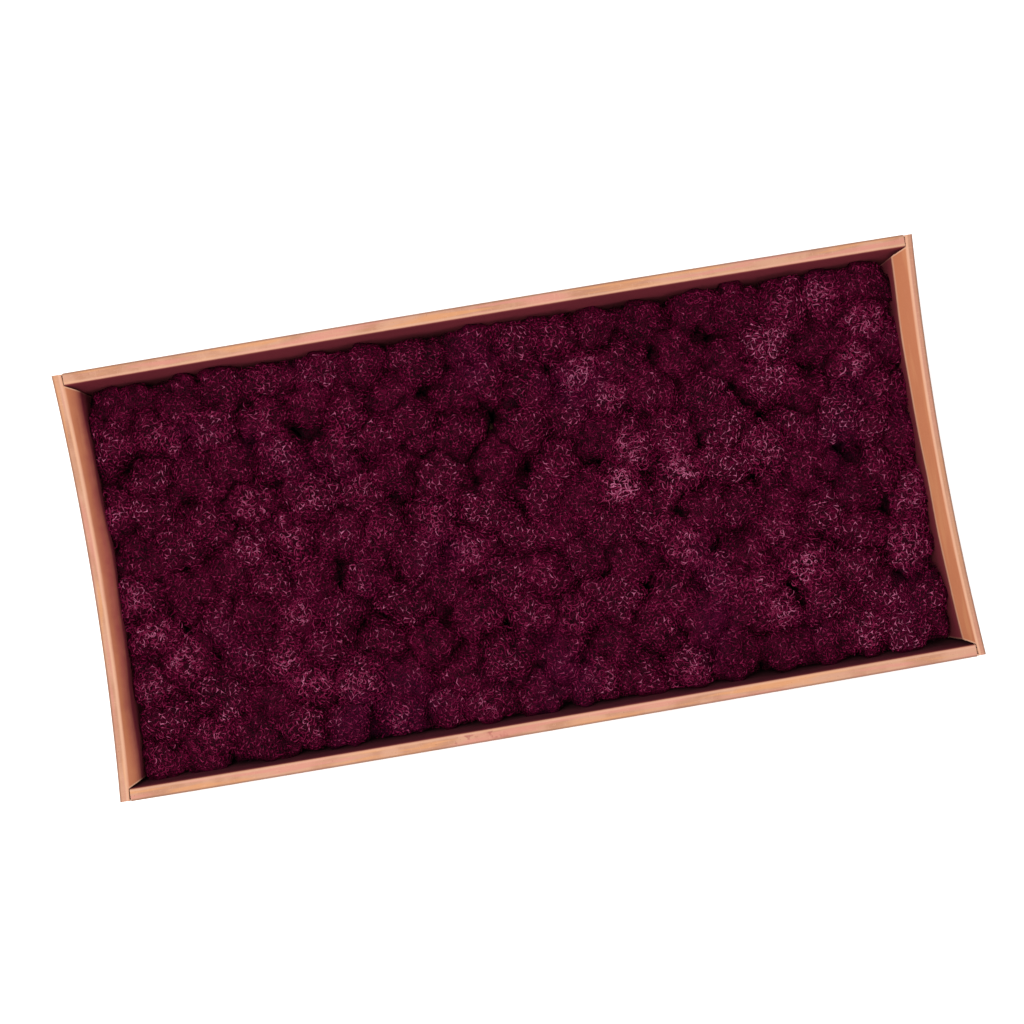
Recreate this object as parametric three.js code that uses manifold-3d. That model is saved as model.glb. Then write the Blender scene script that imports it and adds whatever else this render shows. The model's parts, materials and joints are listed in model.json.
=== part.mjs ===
// Reindeer moss clump, packed heads-up in a folded kraft board tray.
//
// Millimetres, +Z up. The origin is the centre of the tray's underside, +X runs along the tray and +Y
// to its back. The tray is folded from one sheet: a base, two long walls and two end walls that roll
// over into a double wall, and four tabs that lock the corners inside the long walls. The moss is one
// cushion of round heads. Each head is a column of branches with a domed, tufted top, and neighbouring
// heads are grown together in bunches.

import * as THREE from "three";
import { mergeVertices } from "three/addons/utils/BufferGeometryUtils.js";
import Module from "manifold-3d";

const wasm = await Module();
wasm.setup();

// ---------------------------------------------------------------- driving dimensions

const TRAY = { length: 400, width: 196.8, height: 80 };
const BOARD = 1.6; // thickness of the corrugated board
const FIT = 0.3; // clearance between pieces that lie against each other
const CREASE = 1.2; // radius of the outer folds along the rims

// A rolled wall from outside to inside: a flat rim, a first inner facet that slopes in, and a panel
// down to the base.
const FRONT_WALL = { rim: 5.5, slopeRun: 1.4, slopeDrop: 20, footRun: 0.6 };
const BACK_WALL = { rim: 5.5, slopeRun: 2.2, slopeDrop: 20, footRun: 0.6 };
const LEFT_WALL = { rim: 4.1, slopeRun: 5.4, slopeDrop: 6.5, footRun: 2 };
const RIGHT_WALL = { rim: 3.2, slopeRun: 5.4, slopeDrop: 6, footRun: 2 };
const END_BOW = 3.6; // how far the middle of an end wall's rim leans in
const LONG_SWELL = 0.6; // how far the middle of a long wall's rim is pushed out
const CORNER_CLEARANCE = 0.8; // from a long wall's end to the end wall's outer panel
const NOTCH_DEPTH = 3.5; // cut out of a long wall's top ends, where an end wall's rim lies over them
const MITRE = { run: 7.5, set: 4.2 }; // slanted cut at both ends of an end wall's inner facets
const TAB_LENGTH = 28; // how far a corner tab reaches into the long wall

const MOSS = {
  rows: 10,
  columns: 17, // heads along the tray
  bunchRows: 4,
  bunchColumns: 7,
  jitter: 0.42, // of the spacing, for heads and bunches
  rounds: 1, // of evening out the heads' spacing
  sample: 3, // grid step for evening out
  crown: 70.5, // usual height of a head's dome
  crownSpread: 3.2, // heads stand this much higher or lower
  wallDip: 4.5, // heads next to the walls sink this much
  furrow: 9, // depth of the furrow between two heads of a bunch
  cleft: 13.5, // depth of the cleft between two bunches
  pit: 1.5, // how much deeper it is where three heads meet
  clearance: 0.8, // from the tray's inner panels
  seed: 20261,
};
const DRAW_IN = { edge: 0.45, corner: 1.3 }; // how far a bunch's outline is drawn in
const RINGS = [0.42, 0.76]; // rings of a head's dome, as shares of the way from its middle to its outline
const ROUNDNESS = 2.2; // power in the dome's profile: 2 is an ellipse, and more is flatter on top
const TUFT = { height: 1.3, dimple: 0.5, out: 1.1, spread: 0.3 }; // branch tufts, and dimples between them
const LONGEST_EDGE = 6; // an outline edge longer than this gets a point in its middle

// ---------------------------------------------------------------- materials

const kraft = () => new THREE.MeshStandardMaterial({ color: 0xd99a78, roughness: 0.9, metalness: 0 });
const dyedMoss = () => new THREE.MeshStandardMaterial({ color: 0x54102b, roughness: 0.95, metalness: 0 });

// ---------------------------------------------------------------- solids

/** The manifold-3d solid of a closed geometry. */
function toSolid(geometry) {
  const bare = geometry.clone();
  bare.deleteAttribute("normal");
  bare.deleteAttribute("uv");
  const merged = mergeVertices(bare, 1e-4);
  return new wasm.Manifold(
    new wasm.Mesh({
      numProp: 3,
      vertProperties: merged.attributes.position.array,
      triVerts: new Uint32Array(merged.index.array),
    }),
  );
}

/** The geometry of a manifold-3d solid. */
function toGeometry(solid) {
  const mesh = solid.getMesh();
  const geometry = new THREE.BufferGeometry();
  geometry.setAttribute("position", new THREE.BufferAttribute(new Float32Array(mesh.vertProperties), 3));
  geometry.setIndex(new THREE.BufferAttribute(new Uint32Array(mesh.triVerts), 1));
  return geometry;
}

function named(name, geometry, material) {
  const mesh = new THREE.Mesh(geometry, material);
  mesh.name = name;
  return mesh;
}

// ---------------------------------------------------------------- tray

/** The line through a polyline's corners, moved sideways by a distance and mitred at each corner. */
function offsetLine(points, distance) {
  const normals = points.slice(1).map((p, i) => {
    const along = p.clone().sub(points[i]).normalize();
    return new THREE.Vector2(along.y, -along.x);
  });
  return points.map((p, i) => {
    const before = normals[Math.max(i - 1, 0)];
    const after = normals[Math.min(i, normals.length - 1)];
    const mitre = before.clone().add(after).divideScalar(1 + before.dot(after));
    return p.clone().addScaledVector(mitre, distance);
  });
}

/** The cross-section of a rolled wall: x is the way in from the outer face, y the height. */
function wallSection({ rim, slopeRun, slopeDrop, footRun }) {
  const top = TRAY.height;
  const outer = new THREE.Path();
  outer.moveTo(0, 0);
  outer.lineTo(0, top - CREASE);
  outer.quadraticCurveTo(0, top, CREASE, top);
  outer.lineTo(rim - CREASE / 2, top);
  outer.quadraticCurveTo(rim, top, rim + CREASE / 4, top - CREASE / 2);
  outer.lineTo(rim + slopeRun, top - slopeDrop);
  outer.lineTo(rim + slopeRun + footRun, BOARD + FIT);
  const face = outer.getPoints(2);
  return new THREE.Shape([...face, ...offsetLine(face, BOARD).reverse()]);
}

/** A rolled wall along Y, with its outer face on x = 0. Its rim bends in by `bend` at mid-length. */
function rolledWall(section, length, bend, steps) {
  const wall = new THREE.ExtrudeGeometry(section, { depth: length, steps, bevelEnabled: false });
  wall.rotateX(Math.PI / 2).translate(0, length / 2, 0);
  const at = wall.attributes.position;
  for (let i = 0; i < at.count; i++) {
    const along = 1 - ((2 * at.getY(i)) / length) ** 2;
    const up = (at.getZ(i) / TRAY.height) ** 1.5;
    at.setX(i, at.getX(i) + bend * along * up);
  }
  return wall;
}

/** A prism with the given outline in plan, from `low` to `high`. */
function prism(outline, low, high) {
  const shape = new THREE.Shape(outline.map(([x, y]) => new THREE.Vector2(x, y)));
  return new THREE.ExtrudeGeometry(shape, { depth: high - low, bevelEnabled: false }).translate(0, 0, low);
}

/**
 * An end wall. Its inner facets end short of the long walls in a slanted cut. Its rim runs to the
 * corner.
 */
function endWall(spec, neighbours) {
  const half = TRAY.width / 2;
  const start = spec.rim + FIT;
  const deep = spec.rim + spec.slopeRun + spec.footRun + 2 * BOARD;
  const corners = [1, -1].map((side, i) => {
    const inside = half - neighbours[i].rim;
    const outline = [
      [start, half + 1],
      [start, inside - FIT],
      [start + MITRE.run, inside - MITRE.set],
      [deep, inside - MITRE.set],
      [deep, half + 1],
    ];
    return toSolid(prism(outline.map(([x, y]) => [x, side * y]), -1, TRAY.height + 1));
  });
  const wall = toSolid(rolledWall(wallSection(spec), TRAY.width, END_BOW, 12));
  return toGeometry(wall.subtract(corners[0]).subtract(corners[1]));
}

/** A long wall. Its ends are notched at the top, where the end walls' rims lie over them. */
function longWall(spec, neighbours) {
  const length = TRAY.length - 2 * (BOARD + CORNER_CLEARANCE);
  const deep = spec.rim + spec.slopeRun + spec.footRun;
  const notches = [1, -1].map((side, i) => {
    const inner = side * (TRAY.length / 2 - neighbours[i].rim - 2 * FIT);
    const outer = side * (TRAY.length / 2 + 1);
    const outline = [[-deep, inner], [deep, inner], [deep, outer], [-deep, outer]];
    return toSolid(prism(outline, TRAY.height - NOTCH_DEPTH, TRAY.height + 1));
  });
  const wall = toSolid(rolledWall(wallSection(spec), length, -LONG_SWELL, 8));
  return toGeometry(wall.subtract(notches[0]).subtract(notches[1]));
}

function buildTray() {
  const tray = new THREE.Group();
  const { length, width, height } = TRAY;
  const inset = BOARD + FIT;

  const base = new THREE.BoxGeometry(length - 2 * inset, width - 2 * inset, BOARD);
  tray.add(named("tray_base", base.translate(0, 0, BOARD / 2), kraft()));

  // A wall's neighbours are given in the order of its own +Y end and -Y end.
  const left = named("tray_end_wall_left", endWall(LEFT_WALL, [BACK_WALL, FRONT_WALL]), kraft());
  left.position.x = -length / 2;
  const right = named("tray_end_wall_right", endWall(RIGHT_WALL, [FRONT_WALL, BACK_WALL]), kraft());
  right.position.x = length / 2;
  right.rotation.z = Math.PI;
  const front = named("tray_long_wall_front", longWall(FRONT_WALL, [LEFT_WALL, RIGHT_WALL]), kraft());
  front.position.y = -width / 2;
  front.rotation.z = Math.PI / 2;
  const back = named("tray_long_wall_back", longWall(BACK_WALL, [RIGHT_WALL, LEFT_WALL]), kraft());
  back.position.y = width / 2;
  back.rotation.z = -Math.PI / 2;
  tray.add(left, right, front, back);

  const tabHeight = height - 2 * BOARD - 2 * FIT - CREASE;
  const tabMiddle = FRONT_WALL.rim / 2;
  for (const [sideX, nameX] of [[-1, "left"], [1, "right"]]) {
    for (const [sideY, nameY] of [[-1, "front"], [1, "back"]]) {
      const box = new THREE.BoxGeometry(TAB_LENGTH, BOARD, tabHeight);
      const tab = named(`tray_corner_tab_${nameY}_${nameX}`, box, kraft());
      tab.position.set(
        sideX * (length / 2 - inset - TAB_LENGTH / 2),
        sideY * (width / 2 - tabMiddle),
        inset + tabHeight / 2,
      );
      tray.add(tab);
    }
  }
  return tray;
}

// ---------------------------------------------------------------- moss

/** The numbers of a 32-bit linear congruential generator, from 0 to 1. */
function seededRandom(seed) {
  let state = seed;
  return () => {
    state = (state * 1664525 + 1013904223) % 4294967296;
    return state / 4294967296;
  };
}

/** The room inside the tray's inner panels. */
function mossRoom() {
  const reach = (wall) => wall.rim + wall.slopeRun + wall.footRun + MOSS.clearance;
  return {
    x0: -TRAY.length / 2 + reach(LEFT_WALL),
    x1: TRAY.length / 2 - reach(RIGHT_WALL),
    y0: -TRAY.width / 2 + reach(FRONT_WALL),
    y1: TRAY.width / 2 - reach(BACK_WALL),
  };
}

/**
 * A grid of points over the room, each moved at random by up to `jitter` spacings. Odd rows are set
 * over by half a spacing.
 */
function jitteredGrid(room, rows, columns, jitter, random) {
  const points = [];
  const dx = (room.x1 - room.x0) / columns;
  const dy = (room.y1 - room.y0) / rows;
  for (let row = 0; row < rows; row++) {
    for (let column = 0; column < columns; column++) {
      const shift = row % 2 ? 0.25 : -0.25;
      const x = room.x0 + dx * (column + 0.5 + shift + jitter * (2 * random() - 1));
      const y = room.y0 + dy * (row + 0.5 + jitter * (2 * random() - 1));
      points.push({ x, y });
    }
  }
  return points;
}

function nearest(points, x, y) {
  let best = 0;
  let least = Infinity;
  points.forEach((p, i) => {
    const d = (p.x - x) ** 2 + (p.y - y) ** 2;
    if (d < least) [least, best] = [d, i];
  });
  return best;
}

/** Moves each point to the middle of the part of the room that is nearest to it. */
function evenOut(points, room) {
  const sums = points.map(() => ({ x: 0, y: 0, n: 0 }));
  for (let x = room.x0 + MOSS.sample / 2; x < room.x1; x += MOSS.sample) {
    for (let y = room.y0 + MOSS.sample / 2; y < room.y1; y += MOSS.sample) {
      const sum = sums[nearest(points, x, y)];
      sum.x += x;
      sum.y += y;
      sum.n += 1;
    }
  }
  return sums.map((s) => ({ x: s.x / s.n, y: s.y / s.n }));
}

/** The heads: where each stands, how high its crown is, and which bunch it belongs to. */
function layOutHeads(room) {
  const random = seededRandom(MOSS.seed);
  let centres = jitteredGrid(room, MOSS.rows, MOSS.columns, MOSS.jitter, random);
  for (let round = 0; round < MOSS.rounds; round++) centres = evenOut(centres, room);
  const bunches = jitteredGrid(room, MOSS.bunchRows, MOSS.bunchColumns, MOSS.jitter / 2, random);
  return centres.map(({ x, y }) => {
    const toWall = Math.min(x - room.x0, room.x1 - x, y - room.y0, room.y1 - y);
    const dip = MOSS.wallDip * Math.max(0, 1 - toWall / 25);
    const crown = MOSS.crown + MOSS.crownSpread * (2 * random() - 1) - dip;
    return { x, y, crown, bunch: nearest(bunches, x, y) };
  });
}

/**
 * The part of a labelled polygon that is nearer to `own` than to `other`. Each corner holds the label
 * of the edge after it, and the new edge gets the label given.
 */
function clipToNearer(polygon, own, other, label) {
  const [nx, ny] = [other.x - own.x, other.y - own.y];
  const limit = (other.x ** 2 + other.y ** 2 - own.x ** 2 - own.y ** 2) / 2;
  const side = polygon.map((p) => p.x * nx + p.y * ny - limit);
  if (side.every((s) => s <= 0)) return polygon;
  const kept = [];
  polygon.forEach((p, i) => {
    const j = (i + 1) % polygon.length;
    if (side[i] <= 0) kept.push(p);
    if (side[i] <= 0 !== side[j] <= 0) {
      const t = side[i] / (side[i] - side[j]);
      const q = polygon[j];
      const after = side[i] <= 0 ? label : p.label;
      kept.push({ x: p.x + t * (q.x - p.x), y: p.y + t * (q.y - p.y), label: after });
    }
  });
  return kept;
}

/**
 * A head's cell, counter-clockwise: the part of the room nearest to it. An edge's label is the head
 * past it.
 */
function headCell(heads, index, room) {
  const wall = -1;
  let cell = [
    { x: room.x0, y: room.y0, label: wall },
    { x: room.x1, y: room.y0, label: wall },
    { x: room.x1, y: room.y1, label: wall },
    { x: room.x0, y: room.y1, label: wall },
  ];
  heads.forEach((other, i) => {
    if (i !== index) cell = clipToNearer(cell, heads[index], other, i);
  });
  return cell;
}

/**
 * A cell's outline: its corners, and the middle of each long edge. An edge's `outer` says whether it
 * lies on the bunch's outline, and a point's `inward` adds up the inward normals of the edges beside it
 * that do.
 */
function cellOutline(cell, isOuter) {
  const outline = [];
  cell.forEach((p, i) => {
    const next = cell[(i + 1) % cell.length];
    const edge = { corner: true, outer: isOuter(p.label), inward: new THREE.Vector2() };
    outline.push({ ...edge, x: p.x, y: p.y });
    if (Math.hypot(next.x - p.x, next.y - p.y) > LONGEST_EDGE) {
      outline.push({ ...edge, x: (p.x + next.x) / 2, y: (p.y + next.y) / 2, corner: false });
    }
  });
  outline.forEach((p, i) => {
    const next = outline[(i + 1) % outline.length];
    const normal = new THREE.Vector2(p.y - next.y, next.x - p.x).normalize();
    if (!p.outer) return;
    p.inward = p.inward.clone().add(normal);
    next.inward = next.inward.clone().add(normal);
  });
  return outline;
}

const key = (p) => `${p.x.toFixed(3)},${p.y.toFixed(3)}`;

/**
 * The places of a bunch's outline points, each once. A point on the bunch's outline is drawn in along
 * the bisector of its two edges, so that bunches stand clear of each other, and lies in a cleft. The
 * others lie in furrows.
 */
function placeOutlines(outlines, heads) {
  const shared = new Map();
  outlines.forEach((outline, m) => {
    for (const p of outline) {
      const found = shared.get(key(p)) ?? { ...p, inward: new THREE.Vector2(), crowns: [] };
      found.inward.add(p.inward);
      found.crowns.push(heads[m].crown);
      shared.set(key(p), found);
    }
  });
  const places = new Map();
  for (const [name, { x, y, corner, inward, crowns }] of shared) {
    const onOutline = inward.lengthSq() > 0;
    const crown = crowns.reduce((sum, c) => sum + c) / crowns.length;
    const depth = (onOutline ? MOSS.cleft : MOSS.furrow) + (corner ? MOSS.pit : 0);
    const reach = onOutline ? 2 * (corner ? DRAW_IN.corner : DRAW_IN.edge) : 0;
    const draw = reach / Math.max(inward.lengthSq(), 1);
    places.set(name, [x + draw * inward.x, y + draw * inward.y, crown - depth]);
  }
  return places;
}

/**
 * A bunch: its heads' columns, joined along their shared edges. A head's top is a fan and two rings
 * that shrink from the outline to the middle, lifted to a dome. The middle and every other point of the
 * rings stand out square to the dome as a tuft of branches, and the points between them are dimples. A
 * bunch's sides go straight down to the base.
 */
function buildBunch(heads, cells, members, random) {
  const floor = BOARD + FIT;
  const own = new Set(members);
  const outlines = members.map((i) => cellOutline(cells[i], (label) => !own.has(label)));
  const places = placeOutlines(outlines, members.map((i) => heads[i]));

  const triangles = [];
  const quad = (a, b, c, d) => triangles.push(a, b, c, a, c, d);
  outlines.forEach((outline, m) => {
    const head = heads[members[m]];
    const rim = outline.map((p) => places.get(key(p)));
    const ring = (share, parity) =>
      rim.map(([x, y, z], i) => {
        const tuft = ((i + parity) % 2 ? 1 : -TUFT.dimple) * (1 + TUFT.spread * (2 * random() - 1));
        const out = share + TUFT.out * tuft * share ** 2 * (1 - share);
        const dome = (head.crown - z) * Math.sqrt(1 - share ** ROUNDNESS);
        const up = dome + TUFT.height * tuft * Math.sqrt(1 - share ** 2);
        return [head.x + out * (x - head.x), head.y + out * (y - head.y), z + up];
      });
    const middle = [head.x, head.y, head.crown + TUFT.height];
    const inner = ring(RINGS[0], 0);
    const outer = ring(RINGS[1], 1);
    const foot = rim.map(([x, y]) => [x, y, floor]);
    outline.forEach((p, i) => {
      const j = (i + 1) % rim.length;
      triangles.push(middle, inner[i], inner[j]);
      quad(inner[i], outer[i], outer[j], inner[j]);
      quad(outer[i], rim[i], rim[j], outer[j]);
      triangles.push([head.x, head.y, floor], foot[j], foot[i]);
      if (p.outer) quad(rim[i], foot[i], foot[j], rim[j]);
    });
  });

  const geometry = new THREE.BufferGeometry();
  geometry.setAttribute("position", new THREE.Float32BufferAttribute(triangles.flat(), 3));
  return mergeVertices(geometry, 1e-3);
}

function buildMoss() {
  const moss = new THREE.Group();
  const room = mossRoom();
  const heads = layOutHeads(room);
  const cells = heads.map((_, i) => headCell(heads, i, room));
  const random = seededRandom(MOSS.seed + 1);
  for (let bunch = 0; bunch < MOSS.bunchRows * MOSS.bunchColumns; bunch++) {
    const members = heads.flatMap((head, i) => (head.bunch === bunch ? [i] : []));
    const name = `moss_bunch_${String(bunch + 1).padStart(2, "0")}`;
    moss.add(named(name, buildBunch(heads, cells, members, random), dyedMoss()));
  }
  return moss;
}

// ---------------------------------------------------------------- the object

const mossInTray = new THREE.Group();
mossInTray.add(buildTray(), buildMoss());

export default mossInTray;
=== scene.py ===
"""A clump of dyed reindeer moss, packed heads-up in a folded kraft board tray.

The moss is one cushion of round heads. Each head is a lobed dome under a crust of forked sprigs, with
longer loose sprigs and pale curls on it. The tray is folded from board, and its four walls roll over into
double walls. Shapes are worked out in millimetres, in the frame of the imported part.
"""

import json
import logging
import math
from collections.abc import Mapping, Sequence
from dataclasses import dataclass, field
from enum import Enum

import bpy
import numpy as np
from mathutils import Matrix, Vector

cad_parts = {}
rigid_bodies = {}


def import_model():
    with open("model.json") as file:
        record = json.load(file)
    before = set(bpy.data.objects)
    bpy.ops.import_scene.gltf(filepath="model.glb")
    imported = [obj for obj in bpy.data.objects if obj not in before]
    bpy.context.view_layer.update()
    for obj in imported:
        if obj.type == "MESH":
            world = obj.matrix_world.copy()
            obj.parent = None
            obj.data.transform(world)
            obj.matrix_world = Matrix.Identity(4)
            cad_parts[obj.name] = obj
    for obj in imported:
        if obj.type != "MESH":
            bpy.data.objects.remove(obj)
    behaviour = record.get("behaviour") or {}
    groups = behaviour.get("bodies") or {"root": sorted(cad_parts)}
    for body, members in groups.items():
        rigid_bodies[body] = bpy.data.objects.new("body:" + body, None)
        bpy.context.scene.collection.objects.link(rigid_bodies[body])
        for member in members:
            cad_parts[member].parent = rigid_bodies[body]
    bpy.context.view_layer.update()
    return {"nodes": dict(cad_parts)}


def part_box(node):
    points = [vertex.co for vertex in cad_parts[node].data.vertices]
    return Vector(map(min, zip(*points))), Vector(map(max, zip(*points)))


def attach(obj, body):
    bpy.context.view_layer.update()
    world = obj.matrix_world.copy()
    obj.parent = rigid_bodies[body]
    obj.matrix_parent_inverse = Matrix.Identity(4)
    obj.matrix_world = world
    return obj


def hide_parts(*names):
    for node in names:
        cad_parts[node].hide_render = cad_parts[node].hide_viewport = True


log = logging.getLogger("moss_tray")

MM = 0.001
FULL_TURN = 2 * math.pi
GOLDEN_ANGLE = math.pi * (3 - math.sqrt(5))
BODY = "root"

Colour = tuple[float, float, float]
Pair = tuple[float, float]


def paint(red: int, green: int, blue: int) -> Colour:
    """A display colour as the linear light that shaders use, by the standard curve of a display.

    Args:
        red: the red channel, 0 to 255.
        green: the green channel.
        blue: the blue channel.

    Returns:
        The linear colour.
    """
    channels = np.array([red, green, blue]) / 255
    linear = np.where(channels <= 0.04045, channels / 12.92, ((channels + 0.055) / 1.055) ** 2.4)
    return tuple(float(c) for c in linear)


def unit(vectors: np.ndarray) -> np.ndarray:
    """The vectors along the last axis, each divided by its length."""
    return vectors / np.maximum(np.linalg.norm(vectors, axis=-1, keepdims=True), 1e-9)


def smoothstep(values: np.ndarray, low: float, high: float) -> np.ndarray:
    """A smooth climb from 0 at low to 1 at high: 3t squared minus 2t cubed, with t the share of the way."""
    share = np.clip((values - low) / (high - low), 0, 1)
    return share * share * (3 - 2 * share)


def lengths_along(line: np.ndarray) -> np.ndarray:
    """The way along a line to each of its points: the running sum of its steps' lengths."""
    return np.concatenate([[0], np.cumsum(np.linalg.norm(np.diff(line, axis=0), axis=1))])


def in_scene(name: str, data: bpy.types.ID) -> bpy.types.Object:
    """Puts a new object with some data, such as a mesh or a light, into the scene.

    Args:
        name: the object's name.
        data: what it shows.

    Returns:
        The object.
    """
    thing = bpy.data.objects.new(name, data)
    bpy.context.scene.collection.objects.link(thing)
    return thing


# ---------------------------------------------------------------- shader expressions


class Wire:
    """A shader socket that takes part in Python expressions, which add Math nodes."""

    def __init__(self, graph: "Graph", socket: bpy.types.NodeSocket) -> None:
        """Wraps one output socket of a graph."""
        self.graph = graph
        self.socket = socket

    def _math(self, operation: str, first: "Wire | float", second: "Wire | float" = 0.0) -> "Wire":
        """One Math node."""
        return self.graph.node("ShaderNodeMath", {"operation": operation}, {0: first, 1: second})

    def __add__(self, other: "Wire | float") -> "Wire":
        """The sum."""
        return self._math("ADD", self, other)

    __radd__ = __add__

    def __sub__(self, other: "Wire | float") -> "Wire":
        """This socket minus the other."""
        return self._math("SUBTRACT", self, other)

    def __rsub__(self, other: "Wire | float") -> "Wire":
        """The other minus this socket."""
        return self._math("SUBTRACT", other, self)

    def __mul__(self, other: "Wire | float") -> "Wire":
        """The product."""
        return self._math("MULTIPLY", self, other)

    __rmul__ = __mul__

    def __pow__(self, power: "Wire | float") -> "Wire":
        """This socket raised to a power."""
        return self._math("POWER", self, power)

    def __abs__(self) -> "Wire":
        """This socket without its sign."""
        return self._math("ABSOLUTE", self)

    def sine(self) -> "Wire":
        """The sine of this socket, in radians."""
        return self._math("SINE", self)

    def ramp(self, low: float, high: float) -> "Wire":
        """A smooth climb from 0, where this socket is at low, to 1 at high."""
        settings = {"interpolation_type": "SMOOTHSTEP"}
        return self.graph.node("ShaderNodeMapRange", settings, {0: self, 1: low, 2: high})


class Graph:
    """The node tree of one material, written from expressions."""

    def __init__(self, name: str) -> None:
        """Makes an empty material with this name."""
        self.material = bpy.data.materials.new(name)
        self.material.use_nodes = True
        self.tree = self.material.node_tree
        self.tree.nodes.clear()

    def node(
        self,
        kind: str,
        settings: Mapping[str, object] | None = None,
        inputs: Mapping[str | int, object] | None = None,
        output: str | int = 0,
    ) -> Wire:
        """Adds a node.

        Args:
            kind: the node's type.
            settings: its own settings, set first. "stops" is a ramp's list of (place, colour).
            inputs: a value, colour or Wire for each socket, by name or number.
            output: the output socket that is handed back.

        Returns:
            The output as a Wire.
        """
        made = self.tree.nodes.new(kind)
        for key, value in (settings or {}).items():
            if key == "stops":
                self._set_stops(made.color_ramp, value)
            else:
                setattr(made, key, value)
        for key, value in (inputs or {}).items():
            socket = made.inputs[key]
            if isinstance(value, Wire):
                self.tree.links.new(value.socket, socket)
            elif socket.type == "RGBA" and len(value) == 3:
                socket.default_value = (*value, 1)
            else:
                socket.default_value = value
        return Wire(self, made.outputs[output])

    @staticmethod
    def _set_stops(ramp: bpy.types.ColorRamp, stops: Sequence[tuple[float, Colour]]) -> None:
        """Gives a colour ramp its stops.

        Args:
            ramp: the ramp, which has two stops at first.
            stops: the place and the colour of each stop.
        """
        while len(ramp.elements) < len(stops):
            ramp.elements.new(1)
        for element, (place, colour) in zip(ramp.elements, stops):
            element.position = place
            element.color = (*colour, 1)

    def place(self) -> Wire:
        """The place on the piece, in metres."""
        return self.node("ShaderNodeTexCoord", output="Object")

    def axis(self, name: str, place: str = "Object") -> Wire:
        """One axis, X, Y or Z, of the place on the piece, or of its UV."""
        where = self.node("ShaderNodeTexCoord", output=place)
        return self.node("ShaderNodeSeparateXYZ", None, {0: where}, output=name)

    def attribute(self, name: str) -> Wire:
        """A number that the mesh holds at each point."""
        return self.node("ShaderNodeAttribute", {"attribute_name": name}, output="Fac")

    def noise(self, scale: float, detail: float = 2, vector: Wire | None = None) -> Wire:
        """Soft noise about 0.5.

        Args:
            scale: how many lumps there are to a metre.
            detail: how many finer layers it has.
            vector: where it is read, or None for the place on the piece.

        Returns:
            The noise as a Wire.
        """
        inputs = {"Vector": vector or self.place(), "Scale": scale, "Detail": detail}
        return self.node("ShaderNodeTexNoise", None, inputs)

    def warped(self, scale: float, reach: float) -> Wire:
        """The place on the piece, pushed about by noise.

        Args:
            scale: how many lumps the noise has to a metre.
            reach: how far it pushes, in metres.

        Returns:
            The place as a Wire.
        """
        inputs = {"Vector": self.place(), "Scale": scale, "Detail": 1}
        push = self.node("ShaderNodeTexNoise", None, inputs, output="Color")
        settings = {"operation": "MULTIPLY_ADD"}
        return self.node("ShaderNodeVectorMath", settings, {0: push, 1: (reach,) * 3, 2: self.place()})

    def stretched(self, scale: tuple[float, float, float]) -> Wire:
        """The place on the piece, stretched by a factor along each axis."""
        return self.node("ShaderNodeMapping", None, {"Vector": self.place(), "Scale": scale})

    def mix(self, factor: Wire | float, first: Wire | Colour, second: Wire | Colour) -> Wire:
        """Mixes two colours.

        Args:
            factor: 0 gives the first colour and 1 the second.
            first: the colour underneath.
            second: the colour on top.

        Returns:
            The mixed colour.
        """
        return self.node("ShaderNodeMix", {"data_type": "RGBA"}, {0: factor, 6: first, 7: second}, output=2)

    def bump(self, height: Wire, strength: float, distance: float) -> Wire:
        """A normal from a height.

        Args:
            height: the height, about 0 to 1.
            strength: how much of it shows.
            distance: what a height of 1 measures, in metres.

        Returns:
            The normal.
        """
        inputs = {"Height": height, "Strength": strength, "Distance": distance}
        return self.node("ShaderNodeBump", None, inputs)

    def surface(self, inputs: Mapping[str | int, object]) -> bpy.types.Material:
        """Ends the material with its shader.

        Args:
            inputs: the shader's sockets.

        Returns:
            The finished material.
        """
        shader = self.node("ShaderNodeBsdfPrincipled", None, inputs)
        end = self.tree.nodes.new("ShaderNodeOutputMaterial")
        self.tree.links.new(shader.socket, end.inputs["Surface"])
        return self.material


# ---------------------------------------------------------------- finishes


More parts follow.
